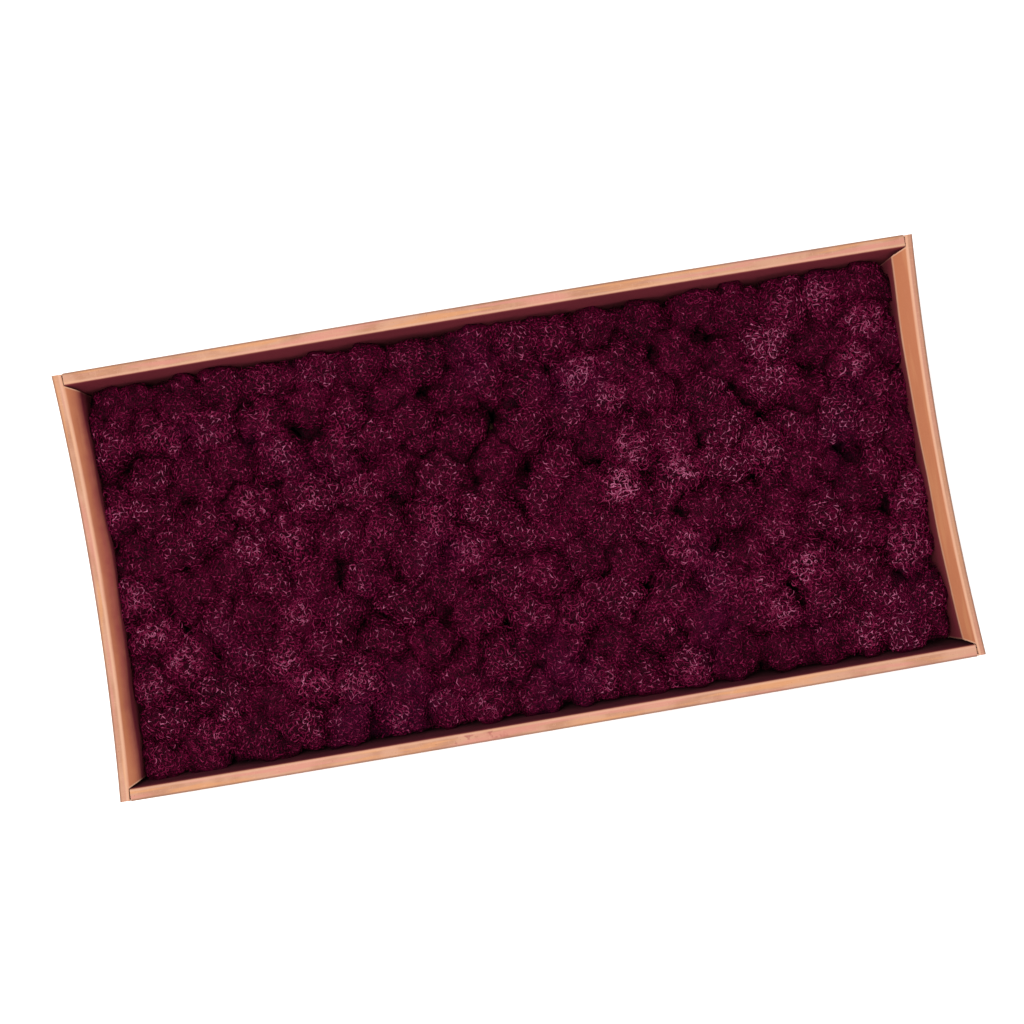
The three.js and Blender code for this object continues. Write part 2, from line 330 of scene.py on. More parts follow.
@dataclass(frozen=True)
class MossFinish:
    """Dyed, preserved moss: deep crimson inside a head, and dusty rose at the tips of the sprigs.

    Noise scales are in lumps to a metre, and other sizes in metres. A range gives where a ramp starts and
    ends. A point's tone picks its colour, and the tones are where the five colours stand. The low tones,
    with the hollow and deep colours, carry painted shade: sunk roots, cores under the sprigs, and the
    creases and edges of the heads.
    """

    # hollow and deep: painted shade in hollows, cores and creases, over the moss's own crimson.
    hollow: Colour = paint(9, 0, 3)
    deep: Colour = paint(43, 0, 16)
    body: Colour = paint(82, 3, 37)
    tip: Colour = paint(114, 26, 60)
    pale: Colour = paint(160, 84, 114)
    plum: Colour = paint(52, 3, 38)
    tones: tuple[float, ...] = (0.0, 0.28, 0.55, 0.8, 1.0)
    grain_scale: float = 900.0
    patch_scale: float = 45.0
    unevenness: float = 0.3
    net_cell: float = 0.0013
    net_push: float = 0.0009
    net_strand: Pair = (0.02, 0.15)
    net_light: float = 0.24
    blush_scale: float = 22.0
    blush_from: Pair = (0.5, 0.75)
    blush: float = 0.4
    plum_share: float = 0.5
    fuzz_scale: float = 1500.0
    fuzz_height: float = 0.0006
    fuzz_strength: float = 0.7
    roughness: float = 0.7
    specular: float = 0.03

    def material(self) -> bpy.types.Material:
        """The colour climbs with each point's tone. On the cores it also follows a fine, dark-meshed net.

        Returns:
            The finished material.
        """
        graph = Graph("dyed_moss_sprigs")
        grain = graph.noise(self.grain_scale) - 0.5
        patch = graph.noise(self.patch_scale, 3) - 0.5
        cells = {"Vector": graph.warped(self.grain_scale, self.net_push), "Scale": 1 / self.net_cell}
        mesh = graph.node("ShaderNodeTexVoronoi", {"feature": "DISTANCE_TO_EDGE"}, cells)
        net = (1 - mesh.ramp(*self.net_strand)) * graph.attribute("core")
        uneven = graph.attribute("tone") + grain * self.unevenness + patch * self.unevenness
        tone = uneven + net * self.net_light
        colours = (self.hollow, self.deep, self.body, self.tip, self.pale)
        stops = list(zip(self.tones, colours))
        colour = graph.node("ShaderNodeValToRGB", {"stops": stops}, {0: tone})
        blush = graph.noise(self.blush_scale).ramp(*self.blush_from) * self.blush
        colour = graph.mix(blush, colour, graph.mix(self.plum_share, colour, self.plum))
        fuzz = graph.noise(self.fuzz_scale, 1)
        return graph.surface(
            {
                "Base Color": colour,
                "Roughness": self.roughness + grain * self.unevenness,
                "Normal": graph.bump(fuzz, self.fuzz_strength, self.fuzz_height),
                "Specular IOR Level": self.specular,
            }
        )


@dataclass(frozen=True)
class BoardFinish:
    """Kraft board: warm tan paper with fibres, worn folds, and dye that has soaked into the inside.

    Noise scales are in lumps to a metre, and places and sizes in metres. A range gives where a ramp
    starts and ends, and a cover how much of a coat of colour shows where it is thickest. The dye on
    the inside is partly dye and partly painted shade with painted red light from the moss. The folds
    are partly worn and partly a painted highlight, and the outer fold and one wall's darker paper are
    painted shade. The inside's darker, more orange paper is painted shade too.
    """

    paper: Colour = paint(172, 128, 104)
    dark_paper: Colour = paint(155, 109, 85)
    rosy_paper: Colour = paint(176, 115, 102)
    orange_paper: Colour = paint(181, 126, 85)
    # The inner paper is darker and more orange than the outside: painted shade and painted red light from
    # the moss on the inner faces.
    inner_paper: Colour = paint(165, 97, 64)
    fibre: Colour = paint(192, 146, 121)
    speck: Colour = paint(112, 66, 44)
    # The worn colour lightens folds and cut edges, partly as wear and partly as a painted highlight; the
    # edge colour darkens the outer fold as painted shade.
    worn: Colour = paint(200, 158, 132)
    edge: Colour = paint(116, 80, 64)
    # The dye colours are partly dye and partly painted shade with painted red light from the moss.
    dye: Colour = paint(118, 35, 48)
    deep_dye: Colour = paint(72, 6, 24)
    mottle_scale: float = 70.0
    mottle_range: Pair = (0.35, 0.65)
    fibre_scale: float = 420.0
    fibre_length: float = 6.0
    fibre_range: Pair = (0.56, 0.72)
    cross_fibre_range: Pair = (0.58, 0.74)
    fibre_cover: float = 0.55
    speck_scale: float = 1500.0
    speck_range: Pair = (0.68, 0.76)
    speck_cover: float = 0.6
    streak_scale: Pair = (22.0, 300.0)
    rosy_range: Pair = (0.5, 0.64)
    orange_range: Pair = (0.36, 0.5)
    rubbed_range: Pair = (0.05, 0.078)
    rubbed_cover: float = 0.6
    unrubbed_cover: float = 0.12
    inner_cover: float = 0.85
    inner_streak_range: Pair = (0.5, 0.7)
    inner_streak_cover: float = 0.35
    worn_cover: float = 0.35
    worn_mottle: float = 0.5
    edge_cover: float = 0.7
    soak_scale: float = 150.0
    soak_unevenness: float = 0.35
    dye_range: Pair = (0.02, 0.95)
    deep_dye_range: Pair = (0.9, 1.7)
    smudge_cover: float = 0.55
    smudge_from: Pair = (-0.052, -0.018)
    smudge_line: float = -0.0962
    smudge_half_width: float = 0.0022
    smudge_scale: float = 260.0
    smudge_range: Pair = (0.5, 0.66)
    smudge_fades: Pair = (0.6, 0.7)
    nap_scale: float = 2200.0
    relief: float = 0.0004
    relief_parts: tuple[float, float, float] = (0.4, 0.4, 0.3)
    relief_strength: float = 0.35
    roughness: float = 0.82
    thread_shine: float = 0.12
    specular: float = 0.25

    def material(self) -> bpy.types.Material:
        """Mottled paper under coats of colour: streaks, fibres, wear on the folds, and dye on the inside.

        A coat shows by how much it covers, from 0 to 1. Dye comes in two stages, so that it deepens where
        more has soaked in; these dye coats also carry painted shade and painted red light from the moss,
        deepest low on the inner wall. The fold attribute lightens a fold as wear and a painted highlight,
        and is below 0 in the outer fold, which turns dark as painted shade.

        Returns:
            The finished material.
        """
        graph = Graph("kraft_board_face")
        mottle = graph.noise(self.mottle_scale, 4)
        threads = self._threads(graph)
        streak = self._streaks(graph)
        rubbed = graph.axis("Z").ramp(*self.rubbed_range) * self.rubbed_cover + self.unrubbed_cover
        fold, inside = graph.attribute("fold"), graph.attribute("inside")
        uneven = (graph.noise(self.soak_scale, 4) - 0.5) * self.soak_unevenness
        dye_and_shade_amount = graph.attribute("dye") + uneven * inside
        specks = graph.noise(self.speck_scale).ramp(*self.speck_range)
        coats = [
            (streak.ramp(*self.rosy_range) * rubbed, self.rosy_paper),
            ((1 - streak.ramp(*self.orange_range)) * rubbed, self.orange_paper),
            # Darker paper over a whole wall: painted shade, strongest on the right wall.
            (graph.attribute("age"), self.dark_paper),
            (threads * self.fibre_cover, self.fibre),
            (specks * self.speck_cover, self.speck),
            # The inside's darker paper: painted shade.
            (inside * self.inner_cover, self.inner_paper),
            (inside * streak.ramp(*self.inner_streak_range) * self.inner_streak_cover, self.orange_paper),
            # Folds: wear with a painted highlight, and painted shade on the outer fold.
            (fold * (self.worn_cover + mottle * self.worn_mottle), self.worn),
            (fold * -self.edge_cover, self.edge),
            # Dye and painted shade on the inside, in two stages.
            (dye_and_shade_amount.ramp(*self.dye_range), self.dye),
            (dye_and_shade_amount.ramp(*self.deep_dye_range), self.deep_dye),
            (self._smudges(graph) * self.smudge_cover, self.dye),
        ]
        colour = graph.mix(mottle.ramp(*self.mottle_range), self.paper, self.dark_paper)
        for cover, coat in coats:
            colour = graph.mix(cover, colour, coat)
        of_mottle, of_threads, of_nap = self.relief_parts
        height = mottle * of_mottle + threads * of_threads + graph.noise(self.nap_scale) * of_nap
        return graph.surface(
            {
                "Base Color": colour,
                "Roughness": self.roughness - threads * self.thread_shine,
                "Normal": graph.bump(height, self.relief_strength, self.relief),
                "Specular IOR Level": self.specular,
            }
        )

    def _threads(self, graph: Graph) -> Wire:
        """Fibres that lie along X and along Y: noise squeezed across them, and cut off above its middle.

        Args:
            graph: the material's graph.

        Returns:
            How much fibre shows.
        """
        along_x = graph.noise(self.fibre_scale, 3, graph.stretched((1, self.fibre_length, 1)))
        along_y = graph.noise(self.fibre_scale, 3, graph.stretched((self.fibre_length, 1, 1)))
        return (along_x.ramp(*self.fibre_range) + along_y.ramp(*self.cross_fibre_range)) * 0.5

    def _streaks(self, graph: Graph) -> Wire:
        """Long streaks in the paper: noise drawn out along X, and along Y on the end walls.

        Args:
            graph: the material's graph.

        Returns:
            The streaks, about 0.5.
        """
        along, across = self.streak_scale
        along_x = graph.noise(1, 3, graph.stretched((along, across, across)))
        along_y = graph.noise(1, 3, graph.stretched((across, along, across)))
        return along_x + (along_y - along_x) * graph.attribute("end_wall")

    def _smudges(self, graph: Graph) -> Wire:
        """Dye rubbed onto one stretch of the front rim: noise, faded out away from the stretch.

        The fade is 1 minus the square of the way from the stretch's middle, over half its length or width.

        Args:
            graph: the material's graph.

        Returns:
            How much dye there is.
        """
        start, end = self.smudge_from
        along = 1 - ((graph.axis("X") - (start + end) / 2) * (2 / (end - start))) ** 2
        across = 1 - ((graph.axis("Y") - self.smudge_line) * (1 / self.smudge_half_width)) ** 2
        blots = graph.noise(self.smudge_scale, 3).ramp(*self.smudge_range)
        end_fade, side_fade = self.smudge_fades
        return along.ramp(0, end_fade) * across.ramp(0, side_fade) * blots


@dataclass(frozen=True)
class CutFinish:
    """The cut edge of the board: two pale liners with the wavy flute between them.

    The UV runs along the cut in millimetres, and from 0 to 1 through the board's thickness. The gap
    colour fills the open hollows of the flute as painted shade.
    """

    liner: Colour = paint(214, 170, 142)
    gap: Colour = paint(112, 68, 50)
    pitch: float = 3.2
    swing: float = 0.3
    flute_edge: Pair = (0.1, 0.18)
    liner_edge: Pair = (0.34, 0.4)
    fluff_scale: float = 1400.0
    fluff_range: Pair = (0.4, 0.8)
    fluff_cover: float = 0.3
    relief: float = 0.0004
    relief_strength: float = 0.4
    roughness: float = 0.9

    def material(self) -> bpy.types.Material:
        """Liners at both sides of the thickness, and a sine wave of the flute's pitch between them.

        Returns:
            The finished material.
        """
        graph = Graph("kraft_board_cut")
        sine = (graph.axis("X", "UV") * (FULL_TURN / self.pitch)).sine()
        off_middle = graph.axis("Y", "UV") - 0.5
        off_flute = abs(off_middle - sine * self.swing)
        between = 1 - abs(off_middle).ramp(*self.liner_edge)
        paper = 1 - off_flute.ramp(*self.flute_edge) * between
        # The gap colour between liner and flute is painted shade in the hollows.
        colour = graph.mix(paper, self.gap, self.liner)
        fluff = graph.noise(self.fluff_scale, 3).ramp(*self.fluff_range) * self.fluff_cover
        return graph.surface(
            {
                "Base Color": graph.mix(fluff, colour, self.gap),
                "Roughness": self.roughness,
                "Normal": graph.bump(paper, self.relief_strength, self.relief),
            }
        )


@dataclass(frozen=True)
class FloorFinish:
    """A plain pale studio floor."""

    colour: Colour = paint(250, 250, 250)
    roughness: float = 0.8
    unevenness: float = 0.1
    uneven_scale: float = 3.0

    def material(self) -> bpy.types.Material:
        """One pale colour with a trace of unevenness in its sheen.

        Returns:
            The finished material.
        """
        graph = Graph("pale_floor")
        roughness = graph.noise(self.uneven_scale) * self.unevenness + self.roughness
        return graph.surface({"Base Color": self.colour, "Roughness": roughness})


# ---------------------------------------------------------------- meshes


@dataclass
class Surface:
    """Points and faces of a mesh, in millimetres, with a number or several at each point."""

    points: np.ndarray
    faces: list[np.ndarray]
    numbers: dict[str, np.ndarray] = field(default_factory=dict)
    finish: list[int] = field(default_factory=list)
    uv: list[np.ndarray] = field(default_factory=list)

    def triangles(self) -> int:
        """How many triangles it has."""
        return sum(len(f) * (f.shape[1] - 2) for f in self.faces)


def join(parts: Sequence[Surface]) -> Surface:
    """Puts surfaces into one, which keeps the numbers that they all have.

    Args:
        parts: the surfaces, with the same numbers at their points.

    Returns:
        The surface that holds them all.
    """
    starts = np.cumsum([0] + [len(p.points) for p in parts])
    faces = [f + start for p, start in zip(parts, starts) for f in p.faces]
    numbers = {k: np.concatenate([p.numbers[k] for p in parts]) for k in parts[0].numbers}
    return Surface(np.concatenate([p.points for p in parts]), faces, numbers)


def make_piece(
    name: str,
    surface: Surface,
    materials: Sequence[bpy.types.Material],
    replaces: Sequence[str],
    crisp: float | None = None,
) -> bpy.types.Object:
    """Makes an object from a surface, attaches it to the body and hides the nodes that it stands for.

    Args:
        name: the piece's name.
        surface: its shape.
        materials: its materials. The surface's finish picks one for each of its face arrays.
        replaces: the nodes of the part that it stands for.
        crisp: edges sharper than this many degrees stay sharp, or None for a soft surface.

    Returns:
        The object.
    """
    mesh = bpy.data.meshes.new(name)
    sides = [f.shape[1] for f in surface.faces]
    counts = [len(f) for f in surface.faces]
    corners = np.concatenate([f.ravel() for f in surface.faces]).astype(np.int32)
    lengths = np.repeat(sides, counts)
    starts = np.concatenate([[0], np.cumsum(lengths)[:-1]])
    mesh.vertices.add(len(surface.points))
    mesh.vertices.foreach_set("co", (surface.points * MM).astype(np.float32).ravel())
    mesh.loops.add(len(corners))
    mesh.loops.foreach_set("vertex_index", corners)
    mesh.polygons.add(len(lengths))
    mesh.polygons.foreach_set("loop_start", starts.astype(np.int32))
    for material in materials:
        mesh.materials.append(material)
    if surface.finish:
        mesh.polygons.foreach_set("material_index", np.repeat(surface.finish, counts).astype(np.int32))
    mesh.update(calc_edges=True)
    mesh.polygons.foreach_set("use_smooth", np.ones(len(lengths), bool))
    if surface.uv:
        flat = np.concatenate([u.reshape(-1, 2) for u in surface.uv])
        mesh.uv_layers.new(name="UVMap").data.foreach_set("uv", flat.astype(np.float32).ravel())
    for key, values in surface.numbers.items():
        made = mesh.attributes.new(key, "FLOAT", "POINT")
        made.data.foreach_set("value", values.astype(np.float32))
    if crisp is not None:
        mesh.set_sharp_from_angle(angle=math.radians(crisp))
    piece = in_scene(name, mesh)
    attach(piece, BODY)
    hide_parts(*replaces)
    log.info("%s: %d triangles", name, surface.triangles())
    return piece


# ---------------------------------------------------------------- the heads of the moss


def crowns_of(node: bpy.types.Object, clear: float = 0.01) -> np.ndarray:
    """The crowns of a bunch's heads: the points whose neighbours in the mesh all lie lower.

    Args:
        node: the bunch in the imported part.
        clear: how far below a crown its highest neighbour lies at least, in millimetres.

    Returns:
        The crowns in millimetres, one row each.
    """
    points = np.empty(len(node.data.vertices) * 3, np.float32)
    node.data.vertices.foreach_get("co", points)
    corners = np.empty(len(node.data.loops), np.int32)
    node.data.loops.foreach_get("vertex_index", corners)
    points, same = np.unique(np.round(points.reshape(-1, 3) / MM, 2), axis=0, return_inverse=True)
    corners = same.ravel()[corners].reshape(-1, 3)
    highest = np.full(len(points), -np.inf)
    for a, b in ((0, 1), (1, 2), (2, 0)):
        np.maximum.at(highest, corners[:, a], points[corners[:, b], 2])
        np.maximum.at(highest, corners[:, b], points[corners[:, a], 2])
    return points[points[:, 2] > highest + clear].astype(float)


@dataclass
class Spots:
    """Places on heads: the head's number, the share of the way to its edge, and the direction in plan."""

    head: np.ndarray
    share: np.ndarray
    angle: np.ndarray

    def moved(self, share: float = 0.0, angle: float = 0.0) -> "Spots":
        """The same places, moved out by a share and round by an angle."""
        return Spots(self.head, self.share + share, self.angle + angle)

    def picked(self, rows: np.ndarray) -> "Spots":
        """Some of the places."""
        return Spots(self.head[rows], self.share[rows], self.angle[rows])


@dataclass(frozen=True)
class Lobes:
    """One layer of lobes on every head: how many, and a lobe's radius and height in millimetres."""

    count: int
    radius: float
    height: float


@dataclass
class HeadField:
    """How the heads meet and how their lobed domes rise. All sizes are in millimetres.

    Two heads meet in a furrow, or in a deeper cleft where they are in different bunches. A jitter is the
    spread of a share of the way out, and of an angle in radians.
    """

    crowns: np.ndarray
    bunch: np.ndarray
    low: np.ndarray
    high: np.ndarray
    rng: np.random.Generator
    beside: int = 12
    furrow: float = 9.5
    cleft: float = 13.0
    wall_cleft: float = 5.5
    unevenness: Pair = (0.3, 1.25)
    corner_power: float = 11.0
    wall_gap: float = 0.8
    least_cosine: float = 0.05
    ragged: tuple[tuple[int, float], ...] = ((3, 0.05), (5, 0.04), (8, 0.025))
    roundness: float = 2.3
    steepness: float = 0.5
    sunk: float = 3.6
    heart: float = 9.0
    lobes: tuple[Lobes, ...] = (Lobes(7, 5.8, 3.6), Lobes(34, 2.5, 1.0))
    lobe_size: Pair = (0.55, 1.2)
    lobe_jitter: Pair = (0.05, 0.2)
    lobe_start: float = 0.35
    lobes_within: Pair = (0.05, 0.95)
    crease: float = 0.9
    wild_skew: Pair = (1.1, 2.2)
    tinted: float = 0.05
    samples: int = 24
    spot_jitter: Pair = (0.03, 0.2)
    spots_within: Pair = (0.06, 0.92)
    tracks_within: Pair = (0.01, 0.88)
    normal_turn: float = 0.05
    normal_step: float = 0.04

    def __post_init__(self) -> None:
        """Draws what differs from head to head."""
        count = len(self.crowns)
        apart = np.linalg.norm(self.crowns[:, None, :2] - self.crowns[None, :, :2], axis=-1)
        self.nearest = np.argsort(apart, axis=1)[:, 1 : self.beside + 1]
        drawn = np.triu(self.rng.uniform(*self.unevenness, (count, count)))
        together = self.bunch[:, None] == self.bunch[None, :]
        self.depth = (drawn + np.triu(drawn, 1).T) * np.where(together, self.furrow, self.cleft)
        self.phase = self.rng.uniform(0, FULL_TURN, (count, len(self.ragged)))
        self.wildness = self.rng.beta(*self.wild_skew, count)
        self.tint = self.rng.normal(0, self.tinted, count)
        self.layers: list[tuple[np.ndarray, np.ndarray]] = []
        for layer in self.lobes:
            self.layers.append(self._scatter_lobes(layer.count))

    def _scatter_lobes(self, lobes: int) -> tuple[np.ndarray, np.ndarray]:
        """Sets lobes on a jittered sunflower's spiral over each head, on the lobes of the layers before.

        Args:
            lobes: how many a head has.

        Returns:
            The lobes' middles and their relative sizes, head by head.
        """
        count, index = len(self.crowns), np.arange(lobes)
        even = np.sqrt((index + self.lobe_start) / lobes)[None, :]
        share = even + self.rng.normal(0, self.lobe_jitter[0], (count, lobes))
        angle = GOLDEN_ANGLE * index[None, :] + self.rng.uniform(0, FULL_TURN, (count, 1))
        angle = angle + self.rng.normal(0, self.lobe_jitter[1], angle.shape)
        head = np.repeat(np.arange(count), lobes)
        middles = self.lobed(Spots(head, np.clip(share, *self.lobes_within).ravel(), angle.ravel()))[0]
        return middles.reshape(count, lobes, 3), self.rng.uniform(*self.lobe_size, (count, lobes))

    def edge(self, head: np.ndarray, angle: np.ndarray) -> tuple[np.ndarray, np.ndarray]:
        """Where a head ends in a direction.

        The reach towards each neighbour is the way to the line midway between them, and to a wall the way
        to that wall. The head's reach is their soft minimum: the sum of their inverse powers, to the
        inverse power. Waves make it ragged. The level is the mean of the furrows' levels, with the same
        powers as weights.

        Args:
            head: the head's number, at each sample.
            angle: the direction in plan.

        Returns:
            The reach from the head's middle, and the level of the furrow there.
        """
        toward = np.stack([np.cos(angle), np.sin(angle)], axis=-1)
        middle = self.crowns[head]
        other = self.nearest[head]
        way = self.crowns[other, :2] - middle[:, None, :2]
        gap = np.linalg.norm(way, axis=-1)
        ahead = np.einsum("nkj,nj->nk", way, toward) / gap
        reach = gap / 2 / np.maximum(ahead, self.least_cosine)
        level = (middle[:, None, 2] + self.crowns[other, 2]) / 2 - self.depth[head[:, None], other]
        to_high = (self.high - self.wall_gap - middle[:, :2]) / np.maximum(toward, self.least_cosine)
        to_low = (middle[:, :2] - self.low - self.wall_gap) / np.maximum(-toward, self.least_cosine)
        reach = np.concatenate([reach, to_high, to_low], axis=1)
        level = np.concatenate([level, np.repeat(middle[:, 2:] - self.wall_cleft, 4, axis=1)], axis=1)
        weight = reach**-self.corner_power
        total = weight.sum(axis=1)
        phases = self.phase[head].T
        waves = sum(size * np.sin(n * angle + phase) for (n, size), phase in zip(self.ragged, phases))
        return total ** (-1 / self.corner_power) * (1 + waves), (weight * level).sum(axis=1) / total

    def dome(self, spots: Spots) -> np.ndarray:
        """The plain dome, which rises from the furrow to the crown.

        The rise is a power of 1 minus another power of the share of the way out.

        Args:
            spots: places on the heads.

        Returns:
            Points on the dome.
        """
        reach, level = self.edge(spots.head, spots.angle)
        middle = self.crowns[spots.head]
        rise = np.clip(1 - np.abs(spots.share) ** self.roundness, 0, 1) ** self.steepness
        return np.stack(
            [
                middle[:, 0] + reach * spots.share * np.cos(spots.angle),
                middle[:, 1] + reach * spots.share * np.sin(spots.angle),
                level + (middle[:, 2] - self.sunk - level) * rise,
            ],
            axis=-1,
        )

    def lobed(self, spots: Spots) -> tuple[np.ndarray, np.ndarray]:
        """The dome with its lobes, large ones first and small ones on them.

        Each lobe is a ball's cap, and the highest one at a point swells it outwards from the head's heart.

        Args:
            spots: places on the heads.

        Returns:
            Points on the lobed dome, and how far each is out of the creases between lobes, from 0 to 1.
        """
        points = self.dome(spots)
        heart = self.crowns[spots.head] - np.array([0, 0, self.heart])
        swell = np.zeros(len(points))
        for (middles, scale), layer in zip(self.layers, self.lobes):
            out = unit(points - heart)
            away = np.linalg.norm(points[:, None, :] - middles[spots.head], axis=-1)
            caps = np.sqrt(np.clip(1 - (away / layer.radius) ** 2, 0, 1)) * scale[spots.head]
            highest = caps.max(axis=1)
            points = points + out * (layer.height * highest)[:, None]
            swell = swell + smoothstep(highest, 0, self.crease) / len(self.lobes)
        return points, swell

    def normal(self, spots: Spots) -> np.ndarray:
        """The lobed dome's outward normal: a small step round it crossed with a small step inwards.

        Args:
            spots: places on the heads.

        Returns:
            The normal at each of them.
        """
        here = self.lobed(spots)[0]
        turned = self.lobed(spots.moved(angle=self.normal_turn))[0] - here
        inward = self.lobed(spots.moved(share=-self.normal_step))[0] - here
        return unit(np.cross(turned, inward))

    def scatter(self, members: np.ndarray, total: int, wilder: float) -> Spots:
        """Places on a jittered sunflower's spiral over each head, in number by its spread and wildness.

        Args:
            members: the heads' numbers.
            total: how many places there are on all heads.
            wilder: how much more of them a wild head has than a tame one.

        Returns:
            The places.
        """
        everyone = np.arange(len(self.crowns))
        turns = np.arange(self.samples) / self.samples * FULL_TURN
        head, turn = (a.ravel() for a in np.meshgrid(everyone, turns, indexing="ij"))
        spread = (self.edge(head, turn)[0] ** 2).reshape(len(everyone), -1).mean(axis=1)
        spread = spread * (1 + wilder * self.wildness)
        counts = np.round(total * spread / spread.sum()).astype(int)[members]
        head = np.repeat(members, counts)
        index = np.arange(len(head)) - np.repeat(np.cumsum(counts) - counts, counts)
        share = np.sqrt((index + 0.5) / np.repeat(counts, counts))
        share = share + self.rng.normal(0, self.spot_jitter[0], len(head))
        angle = GOLDEN_ANGLE * index + self.phase[head, 0] * 3
        angle = angle + self.rng.normal(0, self.spot_jitter[1], len(head))
        return Spots(head, np.clip(share, *self.spots_within), angle)

    def height(self, track: np.ndarray) -> np.ndarray:
        """The height of the lobed domes, each taken from the head whose crown is nearest in plan.

        Args:
            track: places in plan.

        Returns:
            The height at each of them.
        """
        gaps = np.linalg.norm(track[:, None] - self.crowns[None, :, :2], axis=-1)
        head = gaps.argmin(axis=1)
        away = track - self.crowns[head, :2]
        angle = np.arctan2(away[:, 1], away[:, 0])
        share = np.clip(gaps.min(axis=1) / self.edge(head, angle)[0], *self.tracks_within)
        return self.lobed(Spots(head, share, angle))[0][:, 2]


@dataclass
class HeadCore:
    """The lobed domes under the sprigs, each closed by a skirt down to the floor, the top of the base."""

    heads: HeadField
    rings: int = 9
    around: int = 32
    floor: float = 1.9
    pole_share: float = 1e-4
    # The core's tones are painted shade: it lies in shade under the sprigs, darker in the creases between
    # lobes and towards a head's edge, and its skirt and base are near-black.
    pole_tone: float = 0.1
    crease_tone: float = 0.24
    crease_middle: float = 0.6
    edge_fade: float = 0.12

    def build(self, members: np.ndarray) -> Surface:
        """Builds the cores of some heads.

        A core is a grid of the share of the way out, spaced as the sine of equal angles, and the direction.
        Its pole is a single point, and below its edge a ring and a point on the base close it.

        Args:
            members: the heads' numbers.

        Returns:
            Their surfaces in one.
        """
        count = len(members)
        share = np.sin(np.arange(1, self.rings + 1) / self.rings * math.pi / 2)
        angle = np.arange(self.around) / self.around * FULL_TURN
        spots = Spots(*(a.ravel() for a in np.meshgrid(members, share, angle, indexing="ij")))
        domes, swell = self.heads.lobed(spots)
        tops = Spots(members, np.full(count, self.pole_share), np.zeros(count))
        poles, pole_swell = self.heads.lobed(tops)
        rings = domes.reshape(count, self.rings, self.around, 3)
        foot = rings[:, -1:] * [1, 1, 0] + [0, 0, self.floor]
        bottom = self.heads.crowns[members] * [1, 1, 0] + [0, 0, self.floor]
        rings = np.concatenate([rings, foot], axis=1).reshape(count, -1, 3)
        points = np.concatenate([poles[:, None], rings, bottom[:, None]], axis=1)

        tone = self._tone(swell) - self.edge_fade * spots.share**4
        # Tone 0 on the skirt and base: painted shade.
        below = np.zeros((count, self.around + 1))
        tone = np.concatenate([self._tone(pole_swell)[:, None], tone.reshape(count, -1), below], axis=1)
        faces = self._faces((np.arange(count) * points.shape[1])[:, None, None])
        return Surface(points.reshape(-1, 3), faces, {"tone": tone.ravel(), "core": np.ones(tone.size)})

    def _tone(self, swell: np.ndarray) -> np.ndarray:
        """How light the dome is, darker in the creases between lobes."""
        # The crease term is painted shade in the creases between lobes.
        return self.pole_tone + self.crease_tone * (swell - self.crease_middle)

    def _faces(self, starts: np.ndarray) -> list[np.ndarray]:
        """The faces of every core: a fan at the pole, rings of quads, and a fan on the base.

        Args:
            starts: the number of each core's first point.

        Returns:
            The fans and the quads.
        """
        ring = np.arange(self.around)
        after = np.roll(ring, -1)
        step = np.arange(self.rings)[:, None] * self.around + 1
        last = self.rings * self.around + 1
        lower = step + self.around
        cap = np.stack([np.zeros_like(ring), ring + 1, after + 1], axis=1)
        wall = np.stack([step + ring, lower + ring, lower + after, step + after], axis=-1)
        base = np.stack([np.full_like(ring, last + self.around), after + last, ring + last], axis=1)
        flat = [f.reshape(-1, f.shape[-1]) for f in (cap, wall, base)]
        return [(f[None] + starts).reshape(-1, f.shape[-1]) for f in flat]


@dataclass
class Bleach:
    """Round patches where the moss has bleached. All sizes are in millimetres."""

    low: np.ndarray
    high: np.ndarray
    rng: np.random.Generator
    places: tuple[Pair, ...] = (
        (-72, 55), (35, 55), (-70, -83), (-149, -72), (119, -45), (155, 80),
        (150, -83), (48, 6), (-15, -46), (132, 44), (97, -51), (-103, -3),
    )
    radius: float = 8.0
    radius_range: Pair = (0.5, 1.1)
    scattered: int = 60
    faint: float = 0.6

    def __post_init__(self) -> None:
        """Adds scattered, fainter patches to the ones with places of their own."""
        scattered = self.rng.uniform(self.low, self.high, (self.scattered, 2))
        self.middles = np.concatenate([np.array(self.places, float), scattered])
        self.sizes = self.radius * self.rng.uniform(*self.radius_range, len(self.middles))
        faint = self.rng.uniform(0, self.faint, self.scattered)
        self.strengths = np.concatenate([np.ones(len(self.places)), faint])

    def at(self, points: np.ndarray) -> np.ndarray:
        """How bleached each point is, 0 to 1: the largest of the patches' bell curves in plan."""
        away = np.linalg.norm(points[:, None, :2] - self.middles, axis=-1)
        return (self.strengths * np.exp(-((away / self.sizes) ** 2))).max(axis=1)


# ---------------------------------------------------------------- what grows on the heads

RING, TOP, FOOT, BEYOND = np.arange(3), 3, 4, 5
RING_SIDES = ((0, 1), (1, 2), (2, 0))
FORK_FACES = np.stack([np.roll(RING, 1), RING, np.full(3, TOP)], axis=-1)
STALK = np.stack([np.roll(RING, 1), np.full(3, FOOT), RING], axis=-1)


def spikes(near: np.ndarray, tips: np.ndarray) -> list[np.ndarray]:
    """The triangles of three-sided spikes.

    Args:
        near: the three points that each spike stands on, a row each.
        tips: each spike's tip.

    Returns:
        An array of triangles for each side of the spikes.
    """
    return [np.stack([near[:, a], near[:, b], tips], axis=-1) for a, b in RING_SIDES]


